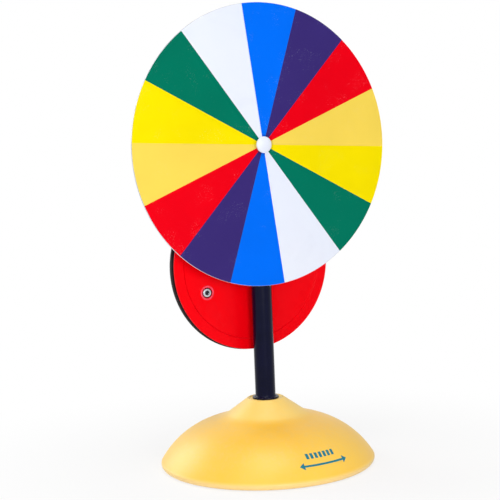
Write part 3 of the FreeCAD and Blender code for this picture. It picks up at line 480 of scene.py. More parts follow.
# %% Disc, flange and hub cap
DISC_AXIS = (0, 0, 264)
SHAFT_BORE, DISC_RADIUS = 2.52, 115
DISC_REAR, DISC_FACE, FILM_FACE = 11.3, 12.8, 13.0
on_disc = {"facing": TO_FRONT, "place": DISC_AXIS}
disc_outline = [(SHAFT_BORE, DISC_REAR), (DISC_RADIUS, DISC_REAR), (DISC_RADIUS, DISC_FACE),
                (SHAFT_BORE, DISC_FACE)]
turn_and_dress("white_disc", disc_outline, "disc", "disc_white", "colour_disc",
               soft=0.3, segments=3, sides=512, **on_disc)

flange_outline = [(SHAFT_BORE, 10.15), (18, 10.15), (18, DISC_REAR), (SHAFT_BORE, DISC_REAR)]
turn_and_dress("flange", flange_outline, "disc", "zinc_steel", "disc_flange", **on_disc)

hub_outline = [(SHAFT_BORE, FILM_FACE), (6.75, FILM_FACE), (6.75, 14.6)] + crown(6.75, 14.6, 1.4)
hub_outline += [(0, 15.2), (SHAFT_BORE, 15.2)]
turn_and_dress("hub", hub_outline, "disc", "cap_white", "hub_cap",
               soft=0.45, segments=3, **on_disc)

# %% Printed films
FILM_ANGLE, FILM_START, FILM_REACH = 25.1, 97.5, 114.8
film = start_piece("right_blue_film")
draw_outline([(SHAFT_BORE, DISC_FACE), (FILM_REACH, DISC_FACE), (FILM_REACH, FILM_FACE),
              (SHAFT_BORE, FILM_FACE)])
bpy.ops.mesh.remove_doubles(threshold=MERGE)
bpy.ops.transform.rotate(value=-math.radians(FILM_START), orient_axis="Z",
                         center_override=(0, 0, 0))
bpy.ops.mesh.spin(steps=36, angle=math.radians(FILM_ANGLE), center=(0, 0, 0), axis=(0, 0, 1))
bpy.ops.mesh.select_all(action="DESELECT")
bpy.ops.mesh.select_non_manifold(extend=False)
bpy.ops.mesh.fill_holes(sides=0)
tidy_shell()
print("films reach", FILM_REACH, "mm over", FILM_ANGLE, "degrees")

colours = ["blue", "indigo", "red", "orange", "yellow", "green"]
films = []
for side, half_turn in (("right", 0), ("left", 180)):
    for order, colour in enumerate(colours):
        name = f"{side}_{colour}"
        twin = film if not films else copied(film, f"{name}_film")
        films.append((twin, name, colour, math.radians(half_turn - FILM_ANGLE * order)))
for twin, name, colour, angle in films:
    settle(twin, TO_FRONT, DISC_AXIS, angle)
    dress(twin, "disc", f"film_{colour}", f"{name}_sector")

# %% [markdown]
# ## Crank wheel
# The wheel is two mouldings screwed together round the belt's groove: a red front with a raised
# band near its edge, and a black back with eight ribs. The handle's screw sits in a round pocket
# of the red face with a thin moulded ring round it. The pocket is cut after turning, and the ribs
# are one bevelled bar, copied round the hub.

# %% Red front half
WHEEL_AXIS = (0, 0, 165)
CRANK = (-42.513, 0, 144.265)
WHEEL_RADIUS, WHEEL_BORE, GROOVE_BOTTOM, SEAM = 71.5, 7.02, 66.5, 19.36
POCKET_RADIUS = 4.3
on_wheel = {"facing": TO_BACK, "place": WHEEL_AXIS}
on_crank = {"sides": 64, "facing": TO_BACK, "place": CRANK}
red_outline = [(WHEEL_BORE, 12.6), (10, 12.6), (10, 15.4), (62.2, 15.4), (63, 14.6),
               (WHEEL_RADIUS, 14.6), (WHEEL_RADIUS, 15.8), (GROOVE_BOTTOM, 16.84),
               (GROOVE_BOTTOM, SEAM), (60, SEAM), (60, 17.4), (10, 17.4), (10, 26.2),
               (WHEEL_BORE, 26.2)]
red_wheel = soften(turned("red_wheel", red_outline, sides=256, **on_wheel), 0.3, segments=3)
pocket_outline = [(0, 13.0), (POCKET_RADIUS, 13.0), (POCKET_RADIUS, 17.3), (0, 17.3)]
carve(red_wheel, turned("pocket", pocket_outline, **on_crank))
dress(red_wheel, "wheel", "wheel_red", "crank_wheel")
ring_outline = [(POCKET_RADIUS, 15.45), (6.2, 15.45), (6.2, 14.8), (POCKET_RADIUS, 14.8)]
turn_and_dress("pocket_ring", ring_outline, "wheel", "wheel_red", soft=0.2, **on_crank)

# %% Black back half with its ribs
RIBS, FLANGE_RADIUS, BACK_FACE = 8, 72.4, 21.6
back_outline = [(10.02, SEAM), (GROOVE_BOTTOM, SEAM), (FLANGE_RADIUS, 20.2),
                (FLANGE_RADIUS, 21.8), (63, 21.8), (62.2, 20.8), (16.8, 20.8),
                (16, BACK_FACE), (10.02, BACK_FACE)]
black_back = soften(turned("black_back", back_outline, sides=256, **on_wheel), 0.3)
bpy.ops.mesh.primitive_cube_add(size=MM, location=(39.3 * MM, 0, 21.1 * MM))
first_rib = bpy.context.object
first_rib.scale = (47.4, 2.0, 1.0)
bake_transform()
soften(first_rib, 0.3)
ribs = [first_rib] + [copied(first_rib, f"rib_{number}") for number in range(2, RIBS + 1)]
for index, rib in enumerate(ribs):
    settle(rib, TO_BACK, WHEEL_AXIS, math.radians(360 / RIBS * index))
boss_outline = [(2.1, 19.5), (9.8, 19.5), (9.8, 20.8)]
boss_outline += arc((9.8, 20.8), (9.0, BACK_FACE), -0.2, 4) + [(9.0, 23.6), (2.1, 23.6)]
boss = soften(turned("boss", boss_outline, **on_crank), 0.3)
join(black_back, boss, *ribs)
dress(black_back, "wheel", "black_plastic", "wheel_back_plate")

# %% Joining screws
JOINING = ((36.96, 0, 149.69), (-15.31, 0, 128.04), (-36.96, 0, 180.31), (15.31, 0, 201.96))
four_screws("joining_screw", "wheel_joining_screw", "wheel", JOINING,
            (2.5, 1.5), 1.25, 4.5, TO_BACK, (0, 20.8, 0))

# %% [markdown]
# ## Drive belt and small pulley
# A round rubber belt runs over the wheel and the small pulley on the disc's shaft. It is swept as
# it lies: its round section is spun about the wheel's axis, drawn straight to the pulley, spun
# about the pulley's axis, and drawn straight back to where it began.

# %% Sweep the belt
LARGE, SMALL, GROOVE = 69.0, 11.5, 18.1
lift = math.asin((LARGE - SMALL) / (DISC_AXIS[2] - WHEEL_AXIS[2]))
low = Vector((math.cos(lift) * LARGE, GROOVE, WHEEL_AXIS[2] + math.sin(lift) * LARGE))
high = Vector((math.cos(lift) * SMALL, GROOVE, DISC_AXIS[2] + math.sin(lift) * SMALL))
bpy.ops.mesh.primitive_circle_add(vertices=24, radius=1.5 * MM, location=low * MM,
                                  rotation=(0, -lift, 0))
belt = bpy.context.object
belt.name = belt.data.name = "belt"
bake_transform()
edit_all()
for steps, sweep, axis, way in ((160, math.pi + 2 * lift, WHEEL_AXIS, 1),
                                (64, math.pi - 2 * lift, DISC_AXIS, -1)):
    bpy.ops.mesh.spin(steps=steps, angle=sweep, center=Vector(axis) * MM, axis=(0, -1, 0))
    run = Vector((low.x - high.x, 0, way * (high.z - low.z))) * MM
    bpy.ops.mesh.extrude_region_move(TRANSFORM_OT_translate={"value": run})
tidy_shell()
dress(belt, "stand", "belt_rubber", "drive_belt")
print("belt from", [round(v / MM, 1) for v in belt.bound_box[0]],
      "to", [round(v / MM, 1) for v in belt.bound_box[6]])

# %% Turn the small pulley
pulley_outline = [(SHAFT_BORE, 10.15), (7, 10.15), (7, 14.6), (14, 14.6), (14, 15.8),
                  (9, 16.84), (9, SEAM), (14, 20.4), (14, BACK_FACE), (SHAFT_BORE, BACK_FACE)]
turn_and_dress("pulley", pulley_outline, "disc", "black_plastic", "disc_pulley",
               soft=0.3, segments=3, facing=TO_BACK, place=DISC_AXIS)


# %% [markdown]
# ## Nuts, washers and bolts
# A real nut is a hexagon whose corners are turned off to a cone on both faces. That shape is what
# a hexagonal prism and a chamfered, turned blank have in common, so the two are intersected.

# %% Hexagon nuts
def hex_prism(name, flats, low_end, high_end):
    """A six-sided prism along its own axis, by its width across flats."""
    middle = (low_end + high_end) / 2
    bpy.ops.mesh.primitive_cylinder_add(vertices=6, radius=flats / math.sqrt(3) * MM,
                                        depth=(high_end - low_end) * MM,
                                        location=(0, 0, middle * MM))
    prism = bpy.context.object
    prism.name = prism.data.name = name
    bake_transform()
    return prism


def hex_nut(name, flats, low_end, high_end, bore, place):
    """A nut with turned-off corners and a countersunk bore."""
    corner = flats / math.sqrt(3)
    reach = flats / 2 * 0.96
    drop = (corner + 0.2 - reach) * math.tan(math.radians(30))
    outline = [(bore, low_end + 0.4), (bore + 0.4, low_end), (reach, low_end),
               (corner + 0.2, low_end + drop), (corner + 0.2, high_end - drop), (reach, high_end),
               (bore + 0.4, high_end), (bore, high_end - 0.4)]
    nut = turned(name, outline, sides=72)
    carve(nut, hex_prism("prism", flats, low_end - 1, high_end + 1), "INTERSECT")
    soften(nut, 0.1, segments=1, angle=40)
    return settle(nut, TO_BACK, place)


dress(hex_nut("axle_lock", 10, 28, 34, 3.02, WHEEL_AXIS), "stand", "zinc_steel", "axle_nut")
dress(hex_nut("pulley_lock", 8, BACK_FACE, 25.6, SHAFT_BORE, DISC_AXIS),
      "disc", "zinc_steel", "pulley_nut")


# %% Axle bolt, its washer and the disc's shaft
def thread(radius, low_end, high_end, pitch):
    """Ridges along a bolt's end, drawn as closed rings because so little of them shows."""
    points = []
    for turn in range(round((high_end - low_end) / pitch)):
        foot = low_end + turn * pitch
        points += [(radius, foot), (radius, foot + pitch * 0.15),
                   (radius - pitch * 0.5, foot + pitch * 0.6)]
    return points + [(radius, high_end)]


bolt_outline = [(0, -10.25), (4.4, -10.25)] + arc((4.4, -10.25), (5.5, -9.4), 0.2, 4)
bolt_outline += [(5.5, -8.95), (3, -8.95)] + thread(3, 27.6, 34.6, 1.0) + [(2.5, 35.2), (0, 35.2)]
dress(turned("axle", bolt_outline, sides=64, **on_wheel), "stand", "bright_steel", "axle_bolt")
shaft_outline = [(0, -15.2), (2.5, -15.2), (2.5, -10.15), (3, -10.15), (3, 10.15), (2.5, 10.15)]
shaft_outline += thread(2.5, 20.0, 26.4, 0.8) + [(2.1, 26.8), (0, 26.8)]
dress(turned("shaft", shaft_outline, sides=64, facing=TO_BACK, place=DISC_AXIS),
      "disc", "bright_steel", "disc_shaft")
washer_outline = [(3.1, 26.4), (9.5, 26.4), (9.5, 28), (3.1, 28)]
turn_and_dress("axle_ring", washer_outline, "stand", "zinc_steel", "axle_washer", **on_wheel)

# %% [markdown]
# ## Handle
# The handle's screw passes through the wheel and carries a steel sleeve, on which the grip turns.
# Its head has a hexagon socket, which is the dark centre seen in the red face. The grip swells in
# the middle to fill the hand, and a plug hides the nut in its end.

# %% Screw with its socket
HEAD_RADIUS, SOCKET_FLATS = 3.7, 3.8
head_outline = [(0, 14.8), (3.3, 14.8), (HEAD_RADIUS, 15.2), (HEAD_RADIUS, 17.6), (2, 17.6),
                (2, 54.5), (1.6, 54.9), (0, 54.9)]
crank_screw = soften(turned("crank_screw", head_outline, sides=64), 0.12)
carve(crank_screw, hex_prism("socket", SOCKET_FLATS, 13.8, 16.6))
settle(crank_screw, TO_BACK, CRANK)
dress(crank_screw, "wheel", "bright_steel", "handle_screw")

# %% Grip, plug and washer
GRIP_END = 58.2
grip_neck, grip_tail = (8, 25.8), (9.2, GRIP_END - 1.2)
grip_outline = [(3.45, 24.6), (6.8, 24.6)] + arc((6.8, 24.6), grip_neck, 0.3, 4)
grip_outline += arc(grip_neck, grip_tail, 1.9, 24) + arc(grip_tail, (8.0, GRIP_END), 0.3, 4)
grip_outline += [(6.2, GRIP_END), (6.2, 47.7), (3.45, 47.7)]
turn_and_dress("grip", grip_outline, "grip", "grip_black", "handle_grip",
               soft=0.2, facing=TO_BACK, place=CRANK)
plug_outline = [(0, GRIP_END - 2.5), (6.18, GRIP_END - 2.5), (6.18, GRIP_END)]
plug_outline += crown(6.18, GRIP_END, 1.0)
turn_and_dress("end_plug", plug_outline, "grip", "grip_black", "handle_end_plug",
               soft=0.15, **on_crank)
ring_outline = [(2.1, 23.6), (6, 23.6), (6, 24.4), (2.1, 24.4)]
turn_and_dress("inner_ring", ring_outline, "wheel", "zinc_steel", "handle_inner_washer",
               soft=0.15, **on_crank)

# %% [markdown]
# ## Printed mark
# The dome carries a small teal mark. Here it is a plain ornament: seven bars for the seven colours
# of the rainbow over a line with an arrowhead at each end, for the turning. It is drawn flat in
# front of the dome, projected on it with Shrinkwrap, and given the thickness of a coat of ink.

# %% Draw the mark and lay it on the dome
BARS, BAR_STEP, BAR_HEIGHT, LINE_HEIGHT = 7, 3.9, 21.2, 15.2
IN_FRONT, UPRIGHT = -0.1, math.pi / 2


def strip(x, z, width, height, columns, rows):
    """A flat upright grid in front of the dome, centred on x and z."""
    bpy.ops.mesh.primitive_grid_add(x_subdivisions=columns, y_subdivisions=rows, size=MM,
                                    location=(x * MM, IN_FRONT, z * MM),
                                    rotation=(UPRIGHT, 0, 0))
    bpy.context.object.scale = (width, height, 1)
    return bpy.context.object


bars = [strip(-4.9 + BAR_STEP * index, BAR_HEIGHT, 2.5, 3.4, 8, 10) for index in range(BARS)]
bars.append(strip(7.8, LINE_HEIGHT, 38.0, 1.3, 60, 4))
for x, way in ((-11.6, -1), (27.2, 1)):
    bpy.ops.mesh.primitive_circle_add(vertices=3, radius=2.8 * MM, fill_type="NGON",
                                      location=(x * MM, IN_FRONT, LINE_HEIGHT * MM),
                                      rotation=(UPRIGHT, way * math.pi / 2, 0))
    edit_all()
    bpy.ops.mesh.subdivide(number_cuts=5)
    bpy.ops.object.mode_set(mode="OBJECT")
    bars.append(bpy.context.object)
mark = join(*bars)
mark.name = mark.data.name = "mark"
bake_transform()
wrap = mark.modifiers.new("on_the_dome", "SHRINKWRAP")
wrap.wrap_method = "PROJECT"
wrap.use_project_y = True
wrap.use_positive_direction = True
wrap.use_negative_direction = False
wrap.target = dome
wrap.offset = 0.03 * MM
ink = mark.modifiers.new("ink", "SOLIDIFY")
ink.thickness = 0.05 * MM
ink.offset = 0
apply_modifiers(mark)
dress(mark, "stand", "base_yellow")

# %% [markdown]
# ## Finishes
# Moulded plastic, lacquer, ink, rubber and metal share a few effects: a skin of fine grain, marks
# of hands, dust, worn edges and the rings a lathe leaves. Each effect is a node group, built once
# and given its own values in every finish. All patterns read Object coordinates, so they stay on
# the piece from every side, at their real scale: a noise of scale 1000 has bumps of one
# millimetre.

# %% Node groups and what fills them
def effect(name, inputs, *outputs):
    """An empty node group with named sockets, and its two ends. Only Colour is no plain value."""
    tree = bpy.data.node_groups.new(name, "ShaderNodeTree")
    for label, value in inputs.items():
        kind = "Float" if isinstance(value, float) else ("Vector", "Color")[len(value) - 3]
        socket = tree.interface.new_socket(name=label, in_out="INPUT",
                                           socket_type="NodeSocket" + kind)
        socket.default_value = value
    for label in outputs:
        kind = "Color" if label == "Colour" else "Float"
        tree.interface.new_socket(name=label, in_out="OUTPUT", socket_type="NodeSocket" + kind)
    return tree, tree.nodes.new("NodeGroupInput").outputs, tree.nodes.new("NodeGroupOutput").inputs


def use(tree, name, **inputs):
    """Place an effect in a finish and return its outputs."""
    node = tree.nodes.new("ShaderNodeGroup")
    node.node_tree = bpy.data.node_groups[name]
    for label, value in inputs.items():
        node.inputs[label.replace("_", " ")].default_value = value
    return node.outputs


def tinted(tree, mask, under, over):
    """One colour where the mask is 0, and the other where it is 1."""
    return add(tree, "Mix", {0: mask, 6: under, 7: over}, data_type="RGBA").outputs[2]


def plus(tree, value, mask, amount):
    """A value with a share of the mask added."""
    return add(tree, "Math", {0: mask, 1: amount, 2: value}, operation="MULTIPLY_ADD").outputs[0]


def coords(tree):
    """Where a point is on the piece, in metres."""
    return add(tree, "TexCoord").outputs["Object"]


def noise(tree, scale, detail, **more):
    """Noise over the piece, or over a Vector that is given."""
    if "Vector" not in more:
        more["Vector"] = coords(tree)
    return add(tree, "TexNoise", {"Scale": scale, "Detail": detail, **more}).outputs[0]


def radius_from(tree, centre, across):
    """How far a point is from the axis through the centre."""
    offset = add(tree, "VectorMath", {0: coords(tree), 1: centre}, operation="SUBTRACT")
    flat = add(tree, "VectorMath", {0: offset.outputs[0], 1: across}, operation="MULTIPLY")
    return add(tree, "VectorMath", {0: flat.outputs[0]}, operation="LENGTH").outputs["Value"]


def link(tree, ends, **values):
    """Link each value to the end of that name."""
    for name, value in values.items():
        tree.links.new(value, ends[name.replace("_", " ")])


# %% Moulded skin
tree, given, result = effect(
    "moulded_skin", {"Grain": 1400.0, "Flow": 22.0, "Smooth": 0.3, "Rough": 0.45},
    "Height", "Roughness", "Flow")
flow = noise(tree, given["Flow"], 3.0, Distortion=0.4)
rough = add(tree, "MapRange", {"Value": flow, "From Min": 0.35, "From Max": 0.65,
                               "To Min": given["Smooth"], "To Max": given["Rough"]})
link(tree, result, Height=noise(tree, given["Grain"], 2.0), Roughness=rough.outputs[0],
     Flow=ramp(tree, flow, 0.35, 0.65))

# %% Marks of hands
tree, given, result = effect("handling", {"Size": 30.0, "Strength": 0.5}, "Smudge", "Scratch")
smear = noise(tree, given["Size"], 6.0, Roughness=0.65, Distortion=0.8)
drawn = add(tree, "Mapping", {"Vector": coords(tree), "Rotation": (0.5, 0.9, 0.3),
                              "Scale": (1.0, 0.02, 1.0)})
lines = noise(tree, 1900.0, 1.0, Vector=drawn.outputs[0])
thin = product(tree, ramp(tree, lines, 0.68, 0.74),
               ramp(tree, noise(tree, 55.0, 2.0), 0.55, 0.65))
link(tree, result, Smudge=product(tree, ramp(tree, smear, 0.5, 0.72), given["Strength"]),
     Scratch=product(tree, thin, given["Strength"]))

# %% Settled dust
tree, given, result = effect("settled_dust", {"Fineness": 160.0, "Amount": 0.3}, "Mask")
facing = add(tree, "SeparateXYZ", {0: add(tree, "NewGeometry").outputs["Normal"]})
specks = noise(tree, given["Fineness"], 8.0, Roughness=0.75)
lying = product(tree, ramp(tree, facing.outputs["Z"], 0.25, 0.95),
                ramp(tree, specks, 0.42, 0.7))
link(tree, result, Mask=product(tree, lying, given["Amount"]))

# %% Worn edges
tree, given, result = effect(
    "worn_edges", {"Width": 0.0006, "Breaks": 160.0, "Amount": 1.0}, "Mask")
rounded = add(tree, "Bevel", {"Radius": given["Width"]}, samples=6)
straight = add(tree, "NewGeometry").outputs["Normal"]
agree = add(tree, "VectorMath", {0: rounded.outputs[0], 1: straight}, operation="DOT_PRODUCT")
worn = product(tree, ramp(tree, agree.outputs["Value"], 0.995, 0.86),
               ramp(tree, noise(tree, given["Breaks"], 4.0), 0.4, 0.62))
link(tree, result, Mask=product(tree, worn, given["Amount"]))

# %% Rings from turning
ACROSS_FRONT, ACROSS_TOP = (1.0, 0.0, 1.0), (1.0, 1.0, 0.0)
tree, given, result = effect(
    "turned_rings", {"Centre": (0.0, 0.0, 0.0), "Across": ACROSS_FRONT, "Pitch": 0.0004},
    "Rings", "Radius")
radius = radius_from(tree, given["Centre"], given["Across"])
count = add(tree, "Math", {0: radius, 1: given["Pitch"]}, operation="DIVIDE").outputs[0]
uneven = add(tree, "TexNoise", {"W": count, "Scale": 1.0, "Detail": 3.0, "Roughness": 0.7},
             noise_dimensions="1D")
link(tree, result, Rings=uneven.outputs[0], Radius=radius)

# %% A ring pressed in or standing up, with painted shade round the hub
tree, given, result = effect(
    "pressed_ring_and_hub_shade", {"Centre": Vector(DISC_AXIS) * MM, "Ring": 0.0093, "Foot": 0.0006,
                     "Crest": 0.0}, "Dip", "Shade")
radius = radius_from(tree, given["Centre"], ACROSS_FRONT)
off_ring = add(tree, "Math", {0: radius, 1: given["Ring"]}, operation="SUBTRACT").outputs[0]
beside = add(tree, "Math", {0: off_ring}, operation="ABSOLUTE").outputs[0]
link(tree, result, Dip=ramp(tree, beside, given["Foot"], given["Crest"]),
     Shade=ramp(tree, radius, 0.0098, 0.0066))

# %% Printed ink
tree, given, result = effect(
    "printed_ink", {"Ink": (0.0, 0.2, 1.0, 1.0), "Sheet": (0.9, 0.9, 1.0, 1.0),
                    "Show Through": 0.12}, "Colour", "Height")
dots = noise(tree, 1500.0, 2.0)
cloud = ramp(tree, noise(tree, 14.0, 4.0), 0.3, 0.7, 0.93, 1.0)
pinholes = product(tree, ramp(tree, dots, 0.66, 0.78), given["Show Through"])
coat = add(tree, "VectorMath", {0: given["Ink"], "Scale": cloud}, operation="SCALE")
link(tree, result, Colour=tinted(tree, pinholes, coat.outputs[0], given["Sheet"]),
     Height=plus(tree, product(tree, dots, 0.4), pinholes, -0.6))

# %% [markdown]
# ## Yellow moulding and its ink
# The base is a glossy plastic whose colour flowed a little unevenly into the mould. Hands dull it
# in patches, and fine dust lies on its upper side. Its rim band and flared neck are painted paler,
# as painted highlights where light catches them, and its pale edges are partly wear and partly a
# painted highlight. The mark is printed with thin teal ink, which lets specks of yellow through.

# %% Base and mark
finishes = {}


def shade(red, green, blue):
    """A colour given as on a screen, 0 to 255, in the linear values that shaders use."""
    linear = [c / 12.92 if c <= 0.04045 else ((c + 0.055) / 1.055) ** 2.4
              for c in (red / 255, green / 255, blue / 255)]
    return (*linear, 1.0)


def finish(name, **constants):
    """A new material. Returns its node tree and its shader's sockets."""
    material = bpy.data.materials.new(name)
    material.use_nodes = True
    surface = material.node_tree.nodes["Principled BSDF"].inputs
    for label, value in constants.items():
        surface[label.replace("_", " ")].default_value = value
    finishes[name] = material
    return material.node_tree, surface


def moulded(tree, grain, flow, smooth, rough):
    """A moulded skin, by the scales of its grain and flow and its two ends of roughness."""
    return use(tree, "moulded_skin", Grain=grain, Flow=flow, Smooth=smooth, Rough=rough)


def painted(tree, surface, colour, *layers):
    """Lay each layer's colour over the last one where its mask is 1."""
    if not isinstance(colour, bpy.types.NodeSocket):
        colour = shade(*colour)
    for mask, over in layers:
        colour = tinted(tree, mask, colour, shade(*over))
    link(tree, surface, Base_Color=colour)


def glossed(tree, surface, skin, hands, smudged, scratched=0.0):
    """Link the skin's roughness, changed where hands smudged or scratched it."""
    rough = plus(tree, skin["Roughness"], hands["Smudge"], smudged)
    if scratched:
        rough = plus(tree, rough, hands["Scratch"], scratched)
    link(tree, surface, Roughness=rough)


def bump(tree, surface, height, distance):
    """Raise the surface by a height of 0 to 1, times a distance in metres."""
    link(tree, surface, Normal=add(tree, "Bump", {"Height": height,
                                                  "Distance": distance}).outputs[0])


tree, surface = finish("base_yellow", Specular_IOR_Level=0.5, Coat_Weight=0.25,
                       Coat_Roughness=0.42)
skin = moulded(tree, 900.0, 11.0, 0.4, 0.5)
hands = use(tree, "handling", Size=16.0, Strength=0.25)
dust = use(tree, "settled_dust", Fineness=240.0, Amount=0.1)["Mask"]
# The pale edges on the base are partly wear and partly a painted highlight.
edges = use(tree, "worn_edges", Width=0.0009, Breaks=130.0, Amount=0.6)["Mask"]
height = add(tree, "SeparateXYZ", {0: coords(tree)}).outputs["Z"]
# Painted highlights: the rim band and the flared neck are painted paler where light catches them.
rim_highlight = ramp(tree, height, 0.0070, 0.0035, 0.0, 0.45)
neck_light = ramp(tree, height, 0.0390, 0.0450, 0.0, 0.5)
painted(tree, surface, (252, 199, 60), (skin["Flow"], (255, 205, 70)),
        (hands["Smudge"], (250, 204, 88)), (dust, (205, 200, 192)), (rim_highlight, (255, 236, 190)),
        (neck_light, (255, 230, 140)), (edges, (255, 232, 170)))
glossed(tree, surface, skin, hands, 0.16, 0.25)
rings = use(tree, "turned_rings", Across=ACROSS_TOP, Pitch=0.0011)
bump(tree, surface, plus(tree, rings["Rings"], skin["Height"], 0.6), 0.00003)

tree, surface = finish("teal_ink", Specular_IOR_Level=0.3, Roughness=0.45)
ink = use(tree, "printed_ink", Ink=shade(0, 122, 142), Sheet=shade(240, 190, 80),
          Show_Through=0.3)
link(tree, surface, Base_Color=ink["Colour"])
bump(tree, surface, ink["Height"], 0.00002)

# %% [markdown]
# ## Lacquered steel
# The column is sprayed with a nearly black blue lacquer. Sprayed lacquer is never quite flat but
# has the fine dimples called orange peel. Where the collar and the tube's end are bumped, bare
# steel shows, so the same mask changes colour, metal and gloss.

# %% Column
tree, surface = finish("column_paint", Specular_IOR_Level=0.11)
skin = moulded(tree, 620.0, 40.0, 0.14, 0.24)
hands = use(tree, "handling", Size=45.0, Strength=0.3)
edges = use(tree, "worn_edges", Width=0.0005, Breaks=260.0, Amount=0.7)["Mask"]
painted(tree, surface, (4, 6, 34), (skin["Flow"], (6, 8, 40)), (hands["Smudge"], (18, 20, 42)),
        (edges, (150, 150, 158)))
link(tree, surface, Metallic=edges)
glossed(tree, surface, skin, hands, 0.18, 0.2)
bump(tree, surface, skin["Height"], 0.00006)

# %% [markdown]
# ## White sheet and printed films
# The disc is cut from white plastic sheet, which is a little wavy and smudged, and greyer at its
# cut edge. The films are solid inks with faint clouds and pinholes. Their gloss is low, so that
# their colours stay deep even where they reflect a white room, and all six are one recipe with
# different ink. Round the hub each is darkened with painted shade from the hub cap, over a ring
# pressed into the sheet.

# %% Sheet and hub cap
WHITE, CUT_FROM, CUT_AT = (232, 237, 250), 0.1146, 0.1149
for name, grain in (("disc_white", 1500.0), ("cap_white", 1100.0)):
    tree, surface = finish(name, Specular_IOR_Level=0.4)
    skin = moulded(tree, grain, 9.0, 0.3, 0.42)
    hands = use(tree, "handling", Size=20.0, Strength=0.3)
    edges = use(tree, "worn_edges", Width=0.0004, Breaks=200.0, Amount=0.6)["Mask"]
    out = use(tree, "turned_rings", Centre=Vector(DISC_AXIS) * MM)["Radius"]
    painted(tree, surface, WHITE, (skin["Flow"], (228, 234, 249)),
            (hands["Smudge"], (218, 223, 238)), (edges, (214, 214, 222)),
            (ramp(tree, out, CUT_FROM, CUT_AT), (200, 202, 212)))
    glossed(tree, surface, skin, hands, 0.15, 0.2)
    bump(tree, surface, plus(tree, skin["Height"], skin["Flow"], 4.0), 0.00002)

# %% Six inks
HUB_SHADE = 0.45
INKS = {"blue": (0, 110, 248), "indigo": (58, 44, 116), "red": (238, 0, 22),
        "orange": (248, 216, 88), "yellow": (248, 226, 0), "green": (0, 116, 92)}
for name, ink_colour in INKS.items():
    tree, surface = finish(f"film_{name}", Specular_IOR_Level=0.03)
    ink = use(tree, "printed_ink", Ink=shade(*ink_colour), Sheet=shade(*WHITE), Show_Through=0.03)
    skin = moulded(tree, 1300.0, 9.0, 0.34, 0.44)
    hands = use(tree, "handling", Size=22.0, Strength=0.25)
    ring = use(tree, "pressed_ring_and_hub_shade")
    # Painted shade: each ink darkens towards the hub cap, as if the cap shadowed it.
    painted(tree, surface, ink["Colour"],
            (product(tree, ring["Shade"], HUB_SHADE), [tone * HUB_SHADE for tone in ink_colour]),
            (hands["Scratch"], WHITE))
    glossed(tree, surface, skin, hands, 0.18)
    height = plus(tree, ink["Height"], skin["Flow"], 3.0)
    bump(tree, surface, plus(tree, height, ring["Dip"], -8.0), 0.00002)

# %% [markdown]
# ## Red and black mouldings
# The wheel's red half is glossy, with faint rings from the turned mould. Painted shade darkens the
# pocket of the handle's screw, where the gap round the head lies in shadow, and the thin ring round
# that pocket has a painted highlight along its crest. The black parts came from a spark-eroded
# mould, which leaves a matt skin of tiny pits. Edges wear paler on both.

# %% Crank wheel
tree, surface = finish("wheel_red", Specular_IOR_Level=0.05)
skin = moulded(tree, 1000.0, 18.0, 0.2, 0.32)
hands = use(tree, "handling", Size=34.0, Strength=0.35)
edges = use(tree, "worn_edges", Width=0.0007, Breaks=170.0, Amount=0.3)["Mask"]
rings = use(tree, "turned_rings", Centre=Vector(WHEEL_AXIS) * MM, Pitch=0.0009)
out = use(tree, "turned_rings", Centre=Vector(CRANK) * MM)["Radius"]
# Painted shade: the pocket round the screw head is darkened as if it lay in shadow.
pocket_shade = ramp(tree, out, 0.0046, 0.0043, 0.0, 0.9)
painted(tree, surface, (252, 0, 15), (skin["Flow"], (255, 3, 19)), (hands["Smudge"], (246, 8, 22)),
        (hands["Scratch"], (250, 90, 90)), (edges, (250, 100, 118)), (pocket_shade, (30, 6, 18)))
glossed(tree, surface, skin, hands, 0.15)
bump(tree, surface, plus(tree, rings["Rings"], skin["Height"], 0.5), 0.00003)

tree, surface = finish("ring_highlight", Specular_IOR_Level=0.2)
skin = moulded(tree, 1000.0, 300.0, 0.25, 0.4)
crest = use(tree, "pressed_ring_and_hub_shade", Centre=Vector(CRANK) * MM, Ring=0.0052, Foot=0.0009,
            Crest=0.0003)["Dip"]
# Painted highlight: the ring's crest is painted pale pink, as if light caught it.
worn = product(tree, crest, ramp(tree, skin["Flow"], 0.0, 1.0, 0.5, 0.9))
painted(tree, surface, (240, 4, 26), (worn, (252, 92, 118)))
link(tree, surface, Roughness=skin["Roughness"])
bump(tree, surface, skin["Height"], 0.00002)

# %% Black mouldings, grip and rubber
BLACKS = {"black_plastic": ((20, 20, 22), 1500.0, 0.42, 0.56, 0.00008),
          "grip_black": ((24, 24, 27), 900.0, 0.34, 0.5, 0.00005),
          "foot_rubber": ((26, 25, 25), 700.0, 0.66, 0.85, 0.00010),
          "belt_rubber": ((22, 21, 21), 1200.0, 0.5, 0.66, 0.00004)}
for name, (tone, grain, smooth, rough_end, depth) in BLACKS.items():
    tree, surface = finish(name, Specular_IOR_Level=0.35)
    skin = moulded(tree, grain, 50.0, smooth, rough_end)
    hands = use(tree, "handling", Size=60.0, Strength=0.6)
    edges = use(tree, "worn_edges", Width=0.0005, Breaks=300.0, Amount=0.5)["Mask"]
    dust = use(tree, "settled_dust", Fineness=420.0, Amount=0.22)["Mask"]
    painted(tree, surface, tone, (skin["Flow"], [part + 5 for part in tone]),
            (hands["Smudge"], (44, 43, 44)), (dust, (120, 117, 112)), (edges, (96, 95, 96)))
    glossed(tree, surface, skin, hands, -0.08, 0.2)
    bump(tree, surface, skin["Height"], depth)
